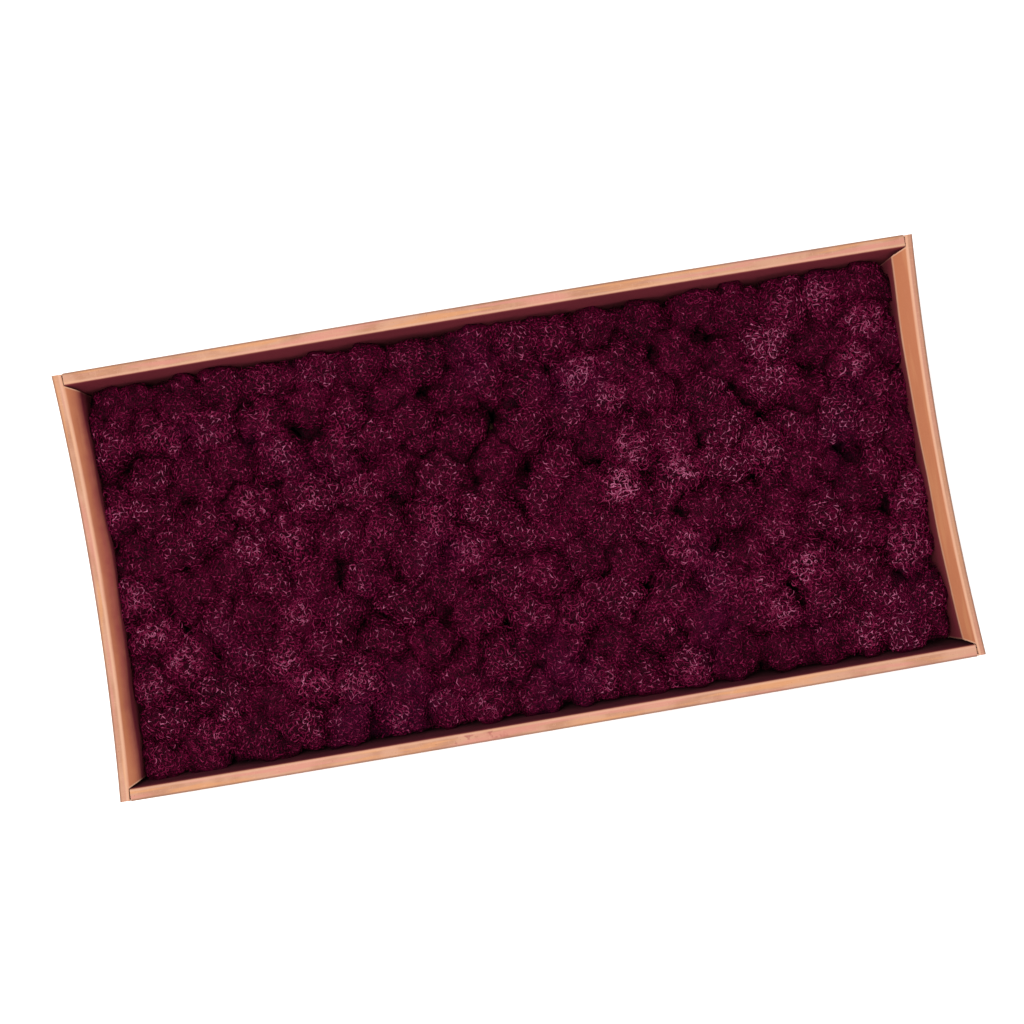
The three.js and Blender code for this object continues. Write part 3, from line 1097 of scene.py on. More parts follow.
@dataclass(frozen=True)
class Shade:
    """What makes a sprig lighter or darker than its kind.

    It is lighter out of the creases between lobes, which is painted light, and on a wild head and where
    it is bleached, which is the moss's own colour. It is darker towards the head's edge, as painted
    shade; that is a power of the share of the way out.
    """

    uneven: float
    proud: float
    proud_middle: float
    edge: float
    edge_power: int
    wild: float
    bleached: float
    lift: float = 0.0
    wild_middle: float = 0.33

    def at(
        self,
        rng: np.random.Generator,
        swell: np.ndarray,
        share: np.ndarray,
        wild: np.ndarray,
        pale: np.ndarray,
    ) -> np.ndarray:
        """The change of tone of each sprig.

        Args:
            rng: draws how uneven it is.
            swell: how far the sprig is out of the creases.
            share: the share of the way out to the head's edge.
            wild: how wild its head is.
            pale: how bleached it is.

        Returns:
            What is added to the sprig's tone.
        """
        # The proud term is painted light on lobe tops, and the edge term painted shade towards the head's
        # edge.
        shade = rng.normal(0, self.uneven, len(swell)) + self.proud * (swell - self.proud_middle)
        shade = shade + self.lift - self.edge * share**self.edge_power
        return shade + self.wild * (wild - self.wild_middle) + self.bleached * pale


@dataclass
class Growth:
    """Small branches that grow on the heads. All sizes are in millimetres.

    The branches of a kind all have the same points in the same order, so a template of triangles makes them
    all. A fork has a stalk that widens from a sunk foot to a ring of three points. A top closes the ring,
    and the three faces so made are where its prongs start.
    """

    heads: HeadField
    bleach: Bleach
    rng: np.random.Generator
    margin: float = 0.5
    top_rise: float = 0.7

    def forks(
        self, ring: np.ndarray, top: np.ndarray, foot: np.ndarray, beyond: Sequence[np.ndarray]
    ) -> np.ndarray:
        """Puts the points of forks in order, and keeps them within the tray's walls.

        Args:
            ring: the three points of each fork's ring.
            top: the point over the ring.
            foot: the sunk point below it.
            beyond: the points of the prongs.

        Returns:
            A row of points for each fork.
        """
        points = np.concatenate([ring, top[:, None], foot[:, None], *beyond], axis=1)
        low, high = self.heads.low - self.margin, self.heads.high + self.margin
        points[..., :2] = np.clip(points[..., :2], low, high)
        return points

    @staticmethod
    def surface(template: np.ndarray, points: np.ndarray, tone: np.ndarray) -> Surface:
        """Repeats one branch's triangles for every row of points.

        Args:
            template: the triangles of one branch.
            points: a row of points for each branch.
            tone: how light each point of each branch is.

        Returns:
            The branches in one surface.
        """
        start = (np.arange(len(points)) * points.shape[1])[:, None, None]
        faces = (template[None] + start).reshape(-1, 3)
        return Surface(points.reshape(-1, 3), [faces], {"tone": tone.ravel(), "core": np.zeros(tone.size)})


@dataclass
class SprigNet(Growth):
    """The crust of short forked sprigs, each of which reaches towards three others.

    The honeycomb's edge is the edge times coarse's first number, and its second is what a wild head adds.
    """

    edge: float = 0.97
    coarse: Pair = (0.87, 0.14)
    half: int = 28
    jitter: float = 0.38
    stretch: float = 1.22
    curl: float = 1.15
    laid: float = 1.12
    rim: float = 0.94
    reach: Pair = (0.8, 1.35)
    free: float = 0.3
    rise: Pair = (0.2, 0.8)
    lift: Pair = (0.15, 0.9)
    unruly: float = 0.2
    upward: float = 0.15
    thickness: float = 0.36
    girth: Pair = (0.8, 1.2)
    bleached_girth: float = 0.4
    sunk: float = 1.8
    # The sunk foot's tone 0 is painted shade at the root, and free prongs are a little lighter as painted
    # light.
    tones: tuple[float, ...] = (0.52, 0.52, 0.52, 0.56, 0.0)
    tip_tone: float = 0.56
    free_tone: float = 0.04
    shade: Shade = Shade(0.06, 0.42, 0.62, 0.6, 4, wild=0.04, bleached=0.1, lift=0.14)

    def _honeycomb(self) -> tuple[np.ndarray, np.ndarray, np.ndarray]:
        """A honeycomb's corners for edges of 1, and the numbers of the three corners beside each.

        A corner has a column, a row and a kind. It lies at the root of 3 times (column plus half the row),
        and at 1.5 times the row plus the kind. The others beside it are of the other kind: in its own
        place, one row back, and one row back and a column on, with back and on turned about for the second
        kind.

        Returns:
            The corners in plan, their neighbours' numbers anticlockwise, and which are of the first kind.
        """
        steps = np.arange(-self.half, self.half + 1)
        column, row, kind = (a.ravel() for a in np.meshgrid(steps, steps, [0, 1], indexing="ij"))
        corners = np.stack([math.sqrt(3) * (column + row / 2), 1.5 * row + kind], axis=-1)
        way = 1 - 2 * kind
        numbers = []
        for across, along in ((column, row), (column, row - way), (column + way, row - way)):
            across, along = (np.clip(n + self.half, 0, 2 * self.half) for n in (across, along))
            numbers.append((across * len(steps) + along) * 2 + 1 - kind)
        return corners, np.stack(numbers, axis=-1), kind == 0

    def _lay(self, members: np.ndarray) -> tuple[Spots, np.ndarray, np.ndarray]:
        """Lays the honeycomb over heads.

        It is sized, turned and jittered for each head, and wrapped over its dome: the share of the way out
        is the sine of the share of the honeycomb's radius times the curl, over the sine of the curl.

        Args:
            members: the heads' numbers.

        Returns:
            The corners' places, the numbers of the three beside each, and the numbers of those with a fork.
        """
        corners, beside, forked = self._honeycomb()
        count = len(members)
        size = self.edge * (self.coarse[0] + self.coarse[1] * self.heads.wildness[members])
        jitter = self.rng.normal(0, self.jitter, (count, *corners.shape))
        plan = ((corners[None] + jitter) * size[:, None, None]).reshape(-1, 2)
        head = np.repeat(members, len(corners))
        angle = np.arctan2(plan[:, 1], plan[:, 0]) + self.heads.phase[head, 0]
        out = np.hypot(plan[:, 0], plan[:, 1]) / (self.stretch * self.heads.edge(head, angle)[0])
        used = np.flatnonzero(out < self.laid)
        number = np.full(out.size, -1)
        number[used] = np.arange(len(used))
        first = (np.arange(count) * len(corners))[:, None, None]
        mates = number[(beside[None] + first).reshape(-1, 3)[used]]
        out = out[used]
        share = np.sin(np.minimum(out, 1) * self.curl) / math.sin(self.curl)
        held = (out < self.rim) & (mates >= 0).all(axis=1) & np.tile(forked, count)[used]
        return Spots(head[used], share, angle[used]), mates, np.flatnonzero(held)

    def build(self, members: np.ndarray) -> Surface:
        """Builds the net of some heads.

        A fork stands at every other corner of the honeycomb. Each point of its ring is opposite one
        neighbour, and from its three faces spikes run out towards the neighbours. Some rise free.

        Args:
            members: the heads' numbers.

        Returns:
            The forks in one surface.
        """
        spots, mates, kept = self._lay(members)
        root, swell = self.heads.lobed(spots)
        drift = self.rng.normal(0, self.unruly, root.shape)
        axis = unit(self.heads.normal(spots) + drift + [0, 0, self.upward])
        hub = root + axis * self.rng.uniform(*self.lift, len(root))[:, None]
        way = hub[mates[kept]] - hub[kept, None]
        root, hub, axis, swell, spots = root[kept], hub[kept], axis[kept], swell[kept], spots.picked(kept)

        count, pale = len(kept), self.bleach.at(hub)
        flat = unit(way - axis[:, None] * np.einsum("nkj,nj->nk", way, axis)[..., None])
        thick = self.thickness * (1 + self.bleached_girth * pale) * self.rng.uniform(*self.girth, count)
        ring = hub[:, None] - thick[:, None, None] * np.roll(flat, 1, axis=1)
        top = hub + axis * thick[:, None] * self.top_rise
        free = self.rng.uniform(0, 1, (count, 3, 1)) < self.free
        rise = axis[:, None] * self.rng.uniform(*self.rise, (count, 3, 1)) * free
        tips = hub[:, None] + way * self.rng.uniform(*self.reach, (count, 3, 1)) + rise
        points = self.forks(ring, top, root - axis * self.sunk, [tips])

        wild = self.heads.wildness[spots.head]
        # Shade adds painted light on lobe tops and painted shade towards the head's edge.
        shade = self.shade.at(self.rng, swell, spots.share, wild, pale) + self.heads.tint[spots.head]
        base = np.repeat([self.tones], count, axis=0)
        tone = np.concatenate([base, self.tip_tone + self.free_tone * free[..., 0]], axis=1)
        template = np.concatenate([STALK, *spikes(FORK_FACES, BEYOND + RING)])
        return self.surface(template, points, tone + shade[:, None])


@dataclass
class LooseSprigs(Growth):
    """Longer, crooked sprigs that stand out of the net. Angles are in degrees."""

    total: int = 3200
    wilder: float = 2.0
    length: Pair = (1.7, 2.9)
    length_on_wild: Pair = (0.75, 0.6)
    lift: Pair = (0.6, 1.8)
    lift_on_wild: Pair = (0.7, 0.6)
    thickness: float = 0.34
    slim: float = 0.27
    sunk: float = 2.4
    spread: Pair = (55.0, 86.0)
    bend: float = 55.0
    droop: Pair = (-22.0, 38.0)
    unruly: float = 0.35
    upward: float = 0.2
    skew: float = 0.35
    upright_from: float = 0.9
    # Tones climb from root to tip: the paler tips are the moss's own colour, and the darker root and the
    # sunk foot's tone 0 are painted shade.
    tones: tuple[float, ...] = (0.42, 0.42, 0.42, 0.48, 0.0)
    knee_tone: float = 0.52
    tip_tone: float = 0.58
    shade: Shade = Shade(0.07, 0.3, 0.75, 0.4, 5, wild=0.3, bleached=0.2)

    def build(self, members: np.ndarray) -> Surface:
        """Builds the sprigs of some heads.

        A sprig is a fork that stands on its root along the head's normal, turned a little at random. From
        each of its three faces a prong runs out through a slimmer ring of three points, its knee, past
        which it bends.

        Args:
            members: the heads' numbers.

        Returns:
            The sprigs in one surface.
        """
        spots = self.heads.scatter(members, self.total, self.wilder)
        count = len(spots.head)
        root, swell = self.heads.lobed(spots)
        drift = self.rng.normal(0, self.unruly, (count, 3))
        axis = unit(self.heads.normal(spots) + drift + [0, 0, self.upward])
        upright = np.abs(axis[:, 2:]) >= self.upright_from
        aside = unit(np.cross(np.where(upright, [1.0, 0, 0], [0, 0, 1.0]), axis))
        across = np.cross(axis, aside)
        wild = self.heads.wildness[spots.head]
        lift = self.rng.uniform(*self.lift, count) * (self.lift_on_wild[0] + self.lift_on_wild[1] * wild)
        hub = root + axis * lift[:, None]

        def toward(turn: np.ndarray) -> np.ndarray:
            """The direction square to the axis at a turn round it, for three turns a sprig."""
            return aside[:, None] * np.cos(turn)[..., None] + across[:, None] * np.sin(turn)[..., None]

        def leaning(lean: np.ndarray, out: np.ndarray) -> np.ndarray:
            """The direction that leans from the axis by an angle, towards a direction square to it."""
            return axis[:, None] * np.cos(lean)[..., None] + out * np.sin(lean)[..., None]

        third = self.rng.uniform(0, FULL_TURN, count)[:, None] + FULL_TURN / 3 * RING
        ring = hub[:, None] + self.thickness * toward(third + math.pi / 3)
        top = hub + axis * self.thickness * self.top_rise
        turn = third + self.rng.uniform(-self.skew, self.skew, (count, 3))
        lean = np.radians(self.rng.uniform(*self.spread, (count, 3)))
        out = toward(turn)
        first = leaning(lean, out)
        stature = self.length_on_wild[0] + self.length_on_wild[1] * wild
        size = self.rng.uniform(*self.length, (count, 3, 1)) * stature[:, None, None]
        bend = turn + np.radians(self.rng.uniform(-self.bend, self.bend, (count, 3)))
        droop = lean + np.radians(self.rng.uniform(*self.droop, (count, 3)))
        knee = hub[:, None] + first * size * 0.5
        tips = knee + leaning(droop, toward(bend)) * size * 0.5
        knees = (knee[:, :, None] + self._star(axis, out, first)).reshape(count, 9, 3)
        points = self.forks(ring, top, root - axis * self.sunk, [knees, tips])

        # Shade adds painted light on lobe tops and painted shade towards the head's edge.
        shade = self.shade.at(self.rng, swell, spots.share, wild, self.bleach.at(hub))
        tones = [*self.tones, *[self.knee_tone] * 9, *[self.tip_tone] * 3]
        return self.surface(self._template(), points, np.array(tones)[None] + shade[:, None])

    def _star(self, axis: np.ndarray, out: np.ndarray, ahead: np.ndarray) -> np.ndarray:
        """The three points round the middle of each knee, a third of a turn apart.

        Args:
            axis: each sprig's axis.
            out: the way out from the axis to each of its three prongs.
            ahead: the way each prong runs.

        Returns:
            The points, from the knee's middle.
        """
        wide = np.cross(np.repeat(axis[:, None], 3, axis=1), out)
        tall = np.cross(ahead, wide)
        return np.stack([-0.87 * wide - 0.5 * tall, 0.87 * wide - 0.5 * tall, tall], axis=2) * self.slim

    @staticmethod
    def _template() -> np.ndarray:
        """The triangles of one sprig: its stalk, three sleeves from ring to knees, and three spikes.

        Returns:
            The triangles.
        """
        knees = BEYOND + np.arange(9).reshape(3, 3)
        sleeves = []
        for a, b in RING_SIDES:
            side = np.stack([FORK_FACES[:, a], FORK_FACES[:, b], knees[:, b], knees[:, a]], axis=-1)
            sleeves += [side[:, [0, 1, 2]], side[:, [0, 2, 3]]]
        return np.concatenate([STALK, *sleeves, *spikes(knees, BEYOND + 9 + RING)])


@dataclass
class Curls(Growth):
    """Curly strands that lie on the net, most of them on bleached patches and wild heads."""

    total: int = 15000
    wilder: float = 1.0
    wild_from: Pair = (0.3, 0.7)
    stray: float = 0.03
    clumped: float = 0.85
    bleached: float = 0.55
    steps: int = 6
    step: Pair = (0.45, 0.85)
    turn: Pair = (0.15, 0.8)
    turn_swing: float = 0.8
    turn_waves: float = 5.0
    lift: Pair = (0.8, 1.7)
    lift_swing: float = 0.5
    lift_waves: float = 6.0
    thickness: float = 0.31
    bleached_girth: float = 0.35
    taper: float = 0.45
    tip_length: float = 0.5
    tone: float = 0.64
    unevenness: float = 0.09
    clump_tone: float = 0.2
    bleached_tone: float = 0.16
    edge_fade: float = 0.3

    def build(self, members: np.ndarray) -> Surface:
        """Builds the strands of some heads, each a tube of three sides that closes in a point at both ends.

        The tube is thinner towards its ends by a cube of the way from its middle.

        Args:
            members: the heads' numbers.

        Returns:
            The strands in one surface.
        """
        spots = self.heads.scatter(members, self.total, self.wilder)
        start = self.heads.dome(spots)
        pale = self.bleach.at(start)
        clump = smoothstep(self.heads.wildness[spots.head], *self.wild_from)
        chance = self.stray + self.clumped * clump + self.bleached * pale
        kept = self.rng.uniform(0, 1, len(start)) < chance
        start, pale, clump, share = start[kept, :2], pale[kept], clump[kept], spots.share[kept]
        count = len(start)
        line = self._lines(start)
        ahead = unit(np.gradient(line, axis=1))
        side = unit(np.cross(ahead, [0, 0, 1.0]))
        up = np.cross(side, ahead)
        along = np.arange(self.steps) / (self.steps - 1)
        thin = 1 - self.taper * np.abs(2 * along - 1) ** 3
        thick = self.thickness * (1 + self.bleached_girth * pale)[:, None] * thin
        turns = (FULL_TURN / 3 * RING)[:, None]
        spoke = side[:, :, None] * np.cos(turns) + up[:, :, None] * np.sin(turns)
        tube = line[:, :, None] + spoke * thick[:, :, None, None]
        first = line[:, :1] - ahead[:, :1] * self.tip_length
        last = line[:, -1:] + ahead[:, -1:] * self.tip_length
        points = np.concatenate([tube.reshape(count, -1, 3), first, last], axis=1)

        # The last term darkens strands towards the head's edge as painted shade; clump and bleach are the
        # moss's own colour.
        tone = self.tone + self.rng.normal(0, self.unevenness, count) + self.clump_tone * clump
        tone = tone + self.bleached_tone * pale - self.edge_fade * share**4
        return self.surface(self._template(), points, np.repeat(tone[:, None], points.shape[1], axis=1))

    def _lines(self, start: np.ndarray) -> np.ndarray:
        """The strands' middle lines.

        A strand's heading turns at a rate that swings as a sine along it, so that it curls. It lies on the
        lobed domes at a small height that also swings.

        Args:
            start: where each strand starts, in plan.

        Returns:
            The points of each line.
        """
        count = len(start)
        along = np.arange(self.steps) / (self.steps - 1)
        swing = self.rng.uniform(0, FULL_TURN, (count, 1))
        rate = self.rng.uniform(*self.turn, (count, 1)) * self.rng.choice([-1, 1], (count, 1))
        rate = rate * (1 + self.turn_swing * np.sin(along * self.turn_waves + swing))
        heading = swing * 2 + np.cumsum(rate, axis=1)
        size = self.rng.uniform(*self.step, (count, 1, 1))
        steps = np.stack([np.cos(heading), np.sin(heading)], axis=-1) * size
        track = np.clip(start[:, None] + np.cumsum(steps, axis=1), self.heads.low, self.heads.high)
        height = self.heads.height(track.reshape(-1, 2)).reshape(count, self.steps)
        lift = self.rng.uniform(*self.lift, (count, 1))
        lift = lift + self.lift_swing * np.sin(along * self.lift_waves + swing)
        return np.concatenate([track, (height + lift)[..., None]], axis=-1)

    def _template(self) -> np.ndarray:
        """The triangles of one strand: the walls of its tube, and a point at each end.

        Returns:
            The triangles.
        """
        after = np.roll(RING, -1)
        row = np.arange(self.steps - 1)[:, None] * 3
        wall = np.stack([row + RING, row + after, row + 3 + after, row + 3 + RING], axis=-1).reshape(-1, 4)
        tail = self.steps * 3
        first = np.stack([after, RING, np.full(3, tail)], axis=1)
        last = np.stack([RING + tail - 3, after + tail - 3, np.full(3, tail + 1)], axis=1)
        return np.concatenate([wall[:, [0, 1, 2]], wall[:, [0, 2, 3]], first, last])


@dataclass
class MossCushion:
    """The whole cushion of moss, one piece for each bunch of heads."""

    finish: MossFinish
    seed: int = 417
    room_margin: float = 0.4

    def build(self, nodes: Mapping[str, bpy.types.Object]) -> list[bpy.types.Object]:
        """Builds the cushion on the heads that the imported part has.

        Args:
            nodes: the part's nodes.

        Returns:
            The pieces.
        """
        names = sorted(n for n in nodes if n.startswith("moss_bunch_"))
        found = [crowns_of(nodes[n]) for n in names]
        bunch = np.repeat(np.arange(len(names)), [len(f) for f in found])
        boxes = np.array([[list(corner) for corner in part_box(n)] for n in names]) / MM
        rng = np.random.default_rng(self.seed)
        heads = HeadField(
            crowns=np.concatenate(found),
            bunch=bunch,
            low=boxes[:, 0, :2].min(axis=0) - self.room_margin,
            high=boxes[:, 1, :2].max(axis=0) + self.room_margin,
            rng=rng,
        )
        bleach = Bleach(heads.low, heads.high, rng)
        layers = [HeadCore(heads), *(kind(heads, bleach, rng) for kind in (SprigNet, LooseSprigs, Curls))]
        material = self.finish.material()
        log.info("moss: %d heads in %d bunches", len(bunch), len(names))
        pieces, total = [], 0
        for i, name in enumerate(names):
            members = np.flatnonzero(bunch == i)
            surface = join([layer.build(members) for layer in layers])
            total += surface.triangles()
            piece = name.replace("bunch", "heads")
            pieces.append(make_piece(piece, surface, [material], [name]))
        log.info("moss: %d triangles", total)
        return pieces


# ---------------------------------------------------------------- tray


class Side(Enum):
    """The tray's walls. The value is the quarter turns from the left wall, whose inside faces +X."""

    LEFT = 0
    FRONT = 1
    RIGHT = 2
    BACK = 3

    @property
    def is_end(self) -> bool:
        """Whether it is one of the two short end walls."""
        return self in (Side.LEFT, Side.RIGHT)

    @property
    def node(self) -> str:
        """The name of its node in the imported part."""
        return f"tray_{'end' if self.is_end else 'long'}_wall_{self.name.lower()}"


@dataclass(frozen=True)
class TraySize:
    """The tray's driving sizes, in millimetres."""

    length: float = 400.0
    width: float = 196.8
    height: float = 80.0
    board: float = 1.6
    fit: float = 0.3
    corner_clearance: float = 0.8
    notch_depth: float = 3.5
    mitre_run: float = 7.5
    mitre_set: float = 4.2


@dataclass(frozen=True)
class WallSize:
    """One rolled wall, in millimetres.

    It has a rim, a sloping facet, a foot, folds and a bow. Dye and painted shade come in between two
    depths, deeper at the ends, and a strength says how much of it. A darker paper over the whole wall is
    painted shade, the facet fans out to one end, and the wall waves a little.
    """

    rim: float
    slope_run: float
    slope_drop: float
    foot_run: float
    folds: tuple[float, float, float]
    bow: float
    soak: Pair
    stain: float = 1.0
    dry_ends: float = 0.0
    age: float = 0.0
    fan: float = 0.0
    wave: float = 0.3


# Each wall's depths and strength set how much dye and painted shade its inside takes.
WALLS = {
    Side.LEFT: WallSize(
        rim=4.1,
        slope_run=5.4,
        slope_drop=6.5,
        foot_run=2.0,
        folds=(1.2, 1.3, 3.2),
        bow=3.6,
        soak=(-2.5, 5.0),
        stain=0.6,
        dry_ends=3.5,
        age=0.1,
        fan=0.5,
        wave=0.5,
    ),
    Side.RIGHT: WallSize(
        rim=3.2,
        slope_run=5.4,
        slope_drop=6.0,
        foot_run=2.0,
        folds=(1.2, 1.0, 1.0),
        bow=3.6,
        soak=(5.0, 8.0),
        age=0.6,
        fan=-1.4,
        wave=0.25,
    ),
    Side.FRONT: WallSize(
        rim=5.5,
        slope_run=1.4,
        slope_drop=20.0,
        foot_run=0.6,
        folds=(1.2, 1.4, 3.0),
        bow=-0.6,
        soak=(-1.5, 5.0),
        stain=1.6,
    ),
    Side.BACK: WallSize(
        rim=5.5,
        slope_run=2.2,
        slope_drop=20.0,
        foot_run=0.6,
        folds=(1.2, 1.4, 3.0),
        bow=-0.6,
        soak=(-3.0, 3.0),
    ),
}


@dataclass
class RolledWall:
    """A wall of the tray: one sheet of board that rises, folds over a flat rim and comes down inside.

    All sizes are in millimetres.
    """

    side: Side
    tray: TraySize
    finish: tuple[bpy.types.Material, bpy.types.Material]
    rng: np.random.Generator
    fold_steps: int = 7
    spacing: float = 7.0
    along_steps: int = 56
    crushed: float = 0.45
    tight_fold: float = 1.3
    bevel: float = 0.7
    step_width: float = 0.08
    seam: float = 0.5
    tucked: float = 0.4
    tucked_height: float = 6.0
    worn_edge: float = 0.5
    # Cut edges take less of the dye and painted shade, and below the facet the inside takes all of it.
    cut_dye: float = 0.7
    inside_from: Pair = (-0.6, 0.1)
    dyed_below: Pair = (-0.5, 2.0)
    lean_power: float = 1.5
    wave_lengths: tuple[float, float, float] = (17.0, 7.3, 9.0)
    short_wave: float = 0.5
    dip: float = 0.12
    dip_length: float = 23.0
    dip_height: float = 2.0
    crisp: float = 50.0

    @property
    def size(self) -> WallSize:
        """This wall's own sizes."""
        return WALLS[self.side]

    @property
    def rim_end(self) -> float:
        """How far in the rim ends, with the gap past it."""
        return self.size.rim + self.tray.fit

    def outline(self) -> tuple[np.ndarray, np.ndarray]:
        """The sheet's outer face in section: x is the way in, z the height.

        The face runs straight between its corners, and each corner is a quadratic curve that starts and
        ends its fold's reach away from it. A fold is lightened by the cube of how tight it is, partly as
        wear and partly as a painted highlight; the outer fold is darkened as painted shade.

        Returns:
            The points along the section, and how much each fold lightens it by wear and painted highlight,
            from 0 to 1, or to -1 in the outer fold, which is painted shade.
        """
        size, top = self.size, self.tray.height
        facet_end = size.rim + size.slope_run
        corners = np.array(
            [
                [0, 0],
                [0, top],
                [size.rim, top],
                [facet_end, top - size.slope_drop],
                [facet_end + size.foot_run, self.tray.board + self.tray.fit],
            ]
        )
        share = np.linspace(0, 1, self.fold_steps)[:, None]
        runs, folds = [corners[:1]], [np.zeros(1)]
        for before, corner, after, reach in zip(corners, corners[1:], corners[2:], size.folds):
            start = corner + unit(before - corner) * reach
            end = corner + unit(after - corner) * reach
            fold_wear_and_light = -1 if corner[0] == 0 else min(1, self.tight_fold / reach) ** 3
            runs.append((1 - share) ** 2 * start + 2 * share * (1 - share) * corner + share**2 * end)
            folds.append(np.sin(math.pi * share[:, 0]) * fold_wear_and_light)
        rough = np.concatenate([*runs, corners[-1:]])
        rough_fold = np.concatenate([*folds, np.zeros(1)])
        travelled = lengths_along(rough)
        stops = [travelled, np.arange(0, travelled[-1], self.spacing), self._steps(rough, travelled)]
        lengths = np.unique(np.round(np.concatenate(stops), 4))
        points = np.stack([np.interp(lengths, travelled, rough[:, i]) for i in range(2)], axis=-1)
        return points, np.interp(lengths, travelled, rough_fold)

    def _steps(self, rough: np.ndarray, travelled: np.ndarray) -> np.ndarray:
        """Where along the section the wall's length changes at once.

        Args:
            rough: the section.
            travelled: the way along it to each of its points.

        Returns:
            A length just before each such place and one just after it.
        """
        if self.side.is_end:
            wanted, line = self.rim_end, rough[:, 0]
        else:
            wanted, line = self.tray.height - self.tray.notch_depth, rough[:, 1]
        crossed = np.flatnonzero((line[:-1] - wanted) * (line[1:] - wanted) < 0)
        share = (wanted - line[crossed]) / (line[crossed + 1] - line[crossed])
        middle = travelled[crossed] + share * (travelled[crossed + 1] - travelled[crossed])
        return np.concatenate([middle - self.step_width / 2, middle + self.step_width / 2])

    def half_length(self, section: np.ndarray, neighbour: WallSize) -> np.ndarray:
        """How far the wall reaches from its middle towards one neighbour, at each point of its band.

        An end wall's rim reaches the corner, and its inner facets stop short of the long wall in a slanted
        cut. A long wall reaches the end wall's outer panel, and stops short of its rim at the top. The
        hidden face of the sheet reaches a little further past the rim, which bevels the cut.

        Args:
            section: the points of the outer face in section.
            neighbour: the wall at that end.

        Returns:
            The half lengths, for the outer face and then for the hidden face on the way back.
        """
        tray, x, z = self.tray, section[:, 0], section[:, 1]
        if self.side.is_end:
            slant = np.clip((x - self.rim_end) / tray.mitre_run, 0, 1)
            inner = tray.width / 2 - neighbour.rim - tray.fit - slant * (tray.mitre_set - tray.fit)
            low = tray.height - self.tucked_height
            rim = tray.width / 2 - self.tucked * smoothstep(z, low, tray.height)
            reach = np.where(x < self.rim_end, rim, inner)
        else:
            full = tray.length / 2 - tray.board - tray.corner_clearance
            notched = tray.length / 2 - neighbour.rim - 2 * tray.fit - self.seam
            reach = np.where(z > tray.height - tray.notch_depth, notched, full)
        return np.concatenate([reach, (reach + (x > self.rim_end) * self.bevel)[::-1]])

    def build(self) -> bpy.types.Object:
        """Builds the wall.

        The section's outer face and the same face moved in by the board's thickness make a closed band,
        which is carried along the wall. The board is thinner where it is crushed in a fold. The ends have
        two more rows of points, for the wear and painted highlight along a cut edge.

        Returns:
            The piece.
        """
        outer, fold = self.outline()
        forward = unit(np.gradient(outer, axis=0))
        inward = np.stack([forward[:, 1], -forward[:, 0]], axis=-1)
        board = self.tray.board * (1 - self.crushed * np.abs(fold))
        band = np.concatenate([outer, (outer + inward * board[:, None])[::-1]])
        neighbours = [WALLS[Side((self.side.value + turn) % 4)] for turn in (3, 1)]
        plus, minus = (self.half_length(outer, n) for n in neighbours)

        near = 1 - np.array([1, 1.6]) * self.worn_edge / plus.max()
        share = np.unique(np.concatenate([np.linspace(-1, 1, self.along_steps + 1), near, -near]))
        y = np.where(share[None, :] > 0, share * plus[:, None], share * minus[:, None])
        x, z = (np.repeat(band[:, i : i + 1], len(share), axis=1) for i in range(2))
        x, z = self._soften(x, y, z)
        cut = (band[:, :1] > self.rim_end) & (np.abs(share) > near[0] - 1e-6) & self.side.is_end
        surface = self._closed_band(self._place(np.stack([x, y, z], axis=-1)), len(outer), band, y)
        rim = self.size.rim
        inside = smoothstep(outer[:, 0], rim + self.inside_from[0], rim + self.inside_from[1])
        inside = np.repeat(np.concatenate([inside, np.zeros(len(outer))])[:, None], len(share), axis=1)
        worn = np.repeat(np.concatenate([fold, fold[::-1]])[:, None], len(share), axis=1)
        # Dye and painted shade on the inside, deeper down the wall.
        dye = inside * self._soaked(y / plus.max(), self.tray.height - z)
        numbers = {
            "fold": np.where(cut, 1.0, worn),
            "end_wall": np.full(y.shape, float(self.side.is_end)),
            "age": np.full(y.shape, self.size.age),
            "inside": inside,
            "dye": np.where(cut, dye * self.cut_dye, dye),
        }
        surface.numbers = {key: values.ravel() for key, values in numbers.items()}
        name = self.side.node.replace("tray", "kraft")
        return make_piece(name, surface, self.finish, [self.side.node], self.crisp)

    def _soaked(self, along: np.ndarray, depth: np.ndarray) -> np.ndarray:
        """How much dye the inside has.

        It stands for dye, and for painted shade with painted red light from the moss. It deepens with
        depth, starts lower at the ends by a square, and is full past the facet.

        Args:
            along: the share of the way from the wall's middle to its end.
            depth: how far below the rim.

        Returns:
            The dye and painted shade, 1 for a full soak.
        """
        size = self.size
        full_from = size.slope_drop + self.dyed_below[0]
        below = smoothstep(depth, full_from, size.slope_drop + self.dyed_below[1])
        return np.maximum(smoothstep(depth - size.dry_ends * along**2, *size.soak) * size.stain, below)

    def _soften(self, x: np.ndarray, y: np.ndarray, z: np.ndarray) -> tuple[np.ndarray, np.ndarray]:
        """Shows that the board is soft.

        The rim leans in by a parabola along the wall, the facet widens towards one end, and it waves slowly
        as a sum of two sines. The rim dips a little, as a sine.

        Args:
            x: the way in, at each point.
            y: the way along the wall.
            z: the height.

        Returns:
            The new ways in and heights.
        """
        size, height = self.size, self.tray.height
        half = (self.tray.width if self.side.is_end else self.tray.length) / 2
        up = z / height
        leaned = size.bow * (1 - (y / half) ** 2) * up**self.lean_power
        facet = np.clip((x - size.rim) / size.slope_run, 0, 1)
        fanned = size.fan * (y / half) * facet * up
        first, second = self.rng.uniform(0, FULL_TURN, 2)
        long, short, rise = self.wave_lengths
        sines = np.sin(y / long + first) + self.short_wave * np.sin(y / short + second + z / rise)
        wave = size.wave * sines * facet * up
        dipped = smoothstep(z, height - self.dip_height, height)
        dip = self.dip * (1 + np.sin(y / self.dip_length + second)) * dipped
        return x + leaned + fanned + wave, z - dip

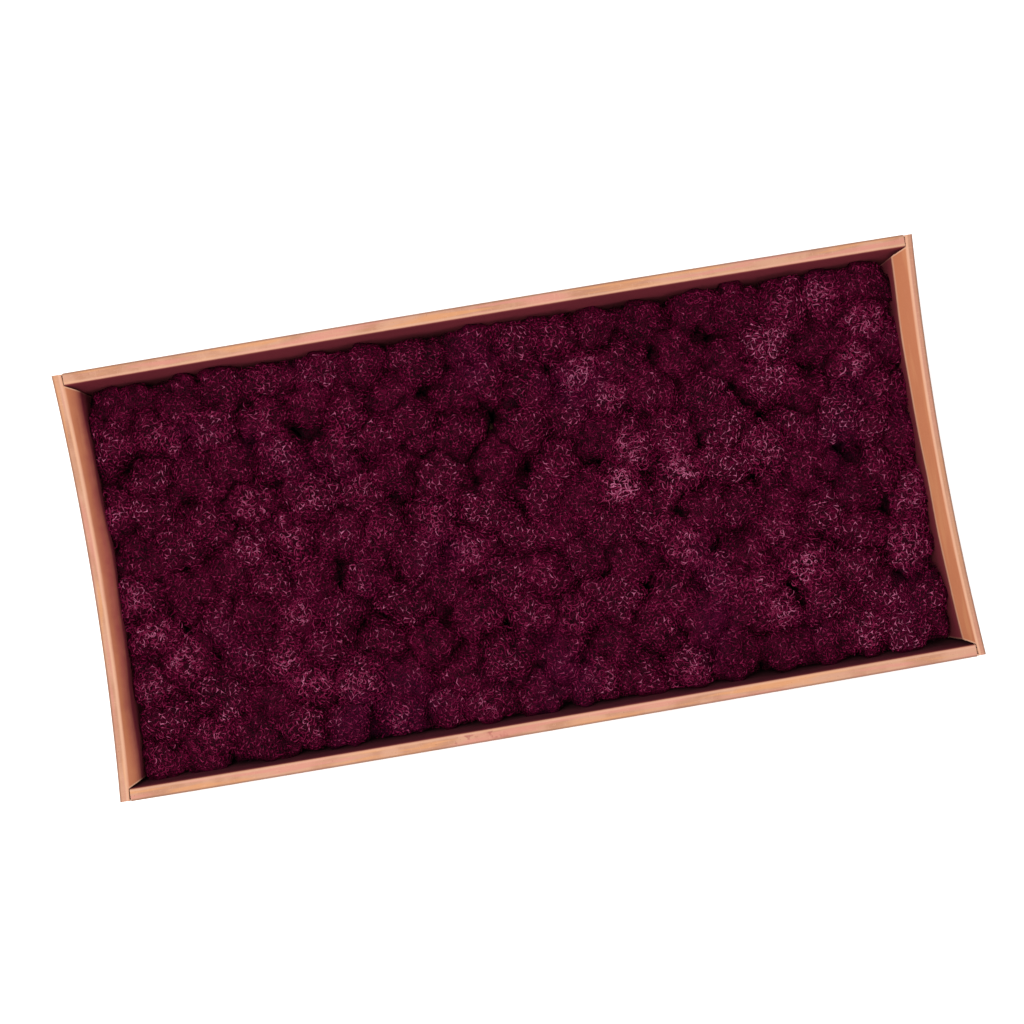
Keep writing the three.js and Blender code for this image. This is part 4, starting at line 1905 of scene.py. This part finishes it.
    def _place(self, points: np.ndarray) -> np.ndarray:
        """Sets the wall in its place: moved out to the left wall's place and turned by its quarter turns.

        Args:
            points: the way in, the way along and the height of each point.

        Returns:
            The points in the part's frame.
        """
        across = self.tray.length if self.side.is_end else self.tray.width
        x, y, z = points[..., 0] - across / 2, points[..., 1], points[..., 2]
        turn = self.side.value * math.pi / 2
        cos, sin = round(math.cos(turn)), round(math.sin(turn))
        return np.stack([x * cos - y * sin, x * sin + y * cos, z], axis=-1)

    def _closed_band(self, points: np.ndarray, face: int, band: np.ndarray, y: np.ndarray) -> Surface:
        """Faces for a band that is closed round its section and capped at both ends.

        Args:
            points: the grid of points, round the section by along the wall.
            face: how many points of the section are on the outer face.
            band: the section.
            y: each point's way along the wall.

        Returns:
            The surface, with its cut edges in a finish of their own.
        """
        around, along = points.shape[:2]
        travelled = lengths_along(band)
        across = (np.arange(around) >= face).astype(float)
        row = np.arange(around)[:, None] * along
        after = np.roll(row, -1, axis=0)
        step = np.arange(along - 1)[None, :]
        grid = np.stack([after + step, after + step + 1, row + step + 1, row + step], axis=-1)
        smooth = np.ones(around, bool)
        smooth[[face - 1, around - 1]] = False
        flat_uv = np.stack([np.repeat(travelled, along), y.ravel()], axis=-1)
        edge_uv = np.stack([y.ravel(), np.repeat(across, along)], axis=-1)
        pair = np.arange(face - 1)
        mate = around - 1 - pair
        ends = np.stack([pair, pair + 1, mate - 1, mate], axis=-1)
        caps = [ends[:, ::-1] * along + along - 1, ends * along]
        outer_length = np.where(across > 0, travelled[::-1], travelled)
        cap_uv = np.repeat(np.stack([outer_length, across], axis=-1), along, axis=0)
        faces = [grid[smooth].reshape(-1, 4), grid[~smooth].reshape(-1, 4), *caps]
        uv = [layout[f] for layout, f in zip((flat_uv, edge_uv, cap_uv, cap_uv), faces)]
        return Surface(points.reshape(-1, 3), faces, {}, [0, 1, 1, 1], uv)


@dataclass
class Tray:
    """The kraft board tray: four rolled walls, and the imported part's base and corner tabs in its board."""

    board: BoardFinish
    cut: CutFinish
    size: TraySize = TraySize()
    seed: int = 88

    def build(self, nodes: Mapping[str, bpy.types.Object]) -> list[bpy.types.Object]:
        """Builds the walls, and dresses the nodes that stay.

        Args:
            nodes: the part's nodes.

        Returns:
            The new pieces.
        """
        rng = np.random.default_rng(self.seed)
        face, edge = self.board.material(), self.cut.material()
        for name in sorted(nodes):
            if name == "tray_base" or name.startswith("tray_corner_tab_"):
                nodes[name].data.materials.clear()
                nodes[name].data.materials.append(face)
                log.info("%s: kept, in kraft board", name)
        return [RolledWall(side, self.size, (face, edge), rng).build() for side in Side]


# ---------------------------------------------------------------- studio


@dataclass
class Studio:
    """A pale floor, soft light from overhead and the camera, in metres, degrees and watts."""

    floor: FloorFinish
    floor_size: float = 9.0
    floor_drop: float = 0.0004
    camera_place: tuple[float, float, float] = (-0.0227, -0.0205, 0.880)
    camera_turn: tuple[float, float, float] = (1.83, -1.10, -9.58)
    lens: float = 61.7
    nearest: float = 0.01
    overhead: float = 32.5
    overhead_size: float = 0.6
    overhead_place: tuple[float, float, float] = (-0.24, 0.03, 1.7)
    fill: float = 3.0
    fill_size: float = 1.2
    fill_place: tuple[float, float, float] = (0.5, -1.3, 1.3)
    surround: float = 0.62

    def build(self) -> None:
        """Makes the floor, the lights, the surround and the camera."""
        half = self.floor_size / 2
        mesh = bpy.data.meshes.new("floor")
        corners = [(-half, -half), (half, -half), (half, half), (-half, half)]
        mesh.from_pydata([(x, y, -self.floor_drop) for x, y in corners], [], [(0, 1, 2, 3)])
        mesh.materials.append(self.floor.material())
        in_scene("floor", mesh)
        self._light("overhead_light", self.overhead_place, self.overhead, self.overhead_size)
        self._light("front_fill", self.fill_place, self.fill, self.fill_size)
        world = bpy.data.worlds.new("surround")
        world.use_nodes = True
        background = world.node_tree.nodes["Background"]
        background.inputs["Color"].default_value = (1, 1, 1, 1)
        background.inputs["Strength"].default_value = self.surround
        data = bpy.data.cameras.new("camera")
        data.lens = self.lens
        data.clip_start = self.nearest
        camera = in_scene("camera", data)
        camera.location = self.camera_place
        camera.rotation_euler = [math.radians(a) for a in self.camera_turn]
        scene = bpy.context.scene
        scene.world = world
        scene.camera = camera
        scene.view_settings.view_transform = "Standard"

    @staticmethod
    def _light(name: str, place: tuple[float, float, float], power: float, size: float) -> None:
        """Adds a square area light that looks at the origin.

        Args:
            name: its name.
            place: where it stands.
            power: its power in watts.
            size: the length of its side.
        """
        data = bpy.data.lights.new(name, "AREA")
        data.energy = power
        data.size = size
        lamp = in_scene(name, data)
        lamp.location = place
        x, y, z = place
        lamp.rotation_euler = (math.atan2(math.hypot(x, y), z), 0, math.atan2(x, -y))


# ---------------------------------------------------------------- the scene


def main() -> None:
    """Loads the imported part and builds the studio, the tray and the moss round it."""
    logging.basicConfig(level=logging.INFO, format="%(name)s %(message)s")
    for thing in list(bpy.data.objects):
        bpy.data.objects.remove(thing)
    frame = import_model()
    Studio(FloorFinish()).build()
    walls = Tray(BoardFinish(), CutFinish()).build(frame["nodes"])
    bunches = MossCushion(MossFinish()).build(frame["nodes"])
    log.info("new pieces: %d walls and %d bunches of heads", len(walls), len(bunches))


if __name__ == "__main__":
    main()
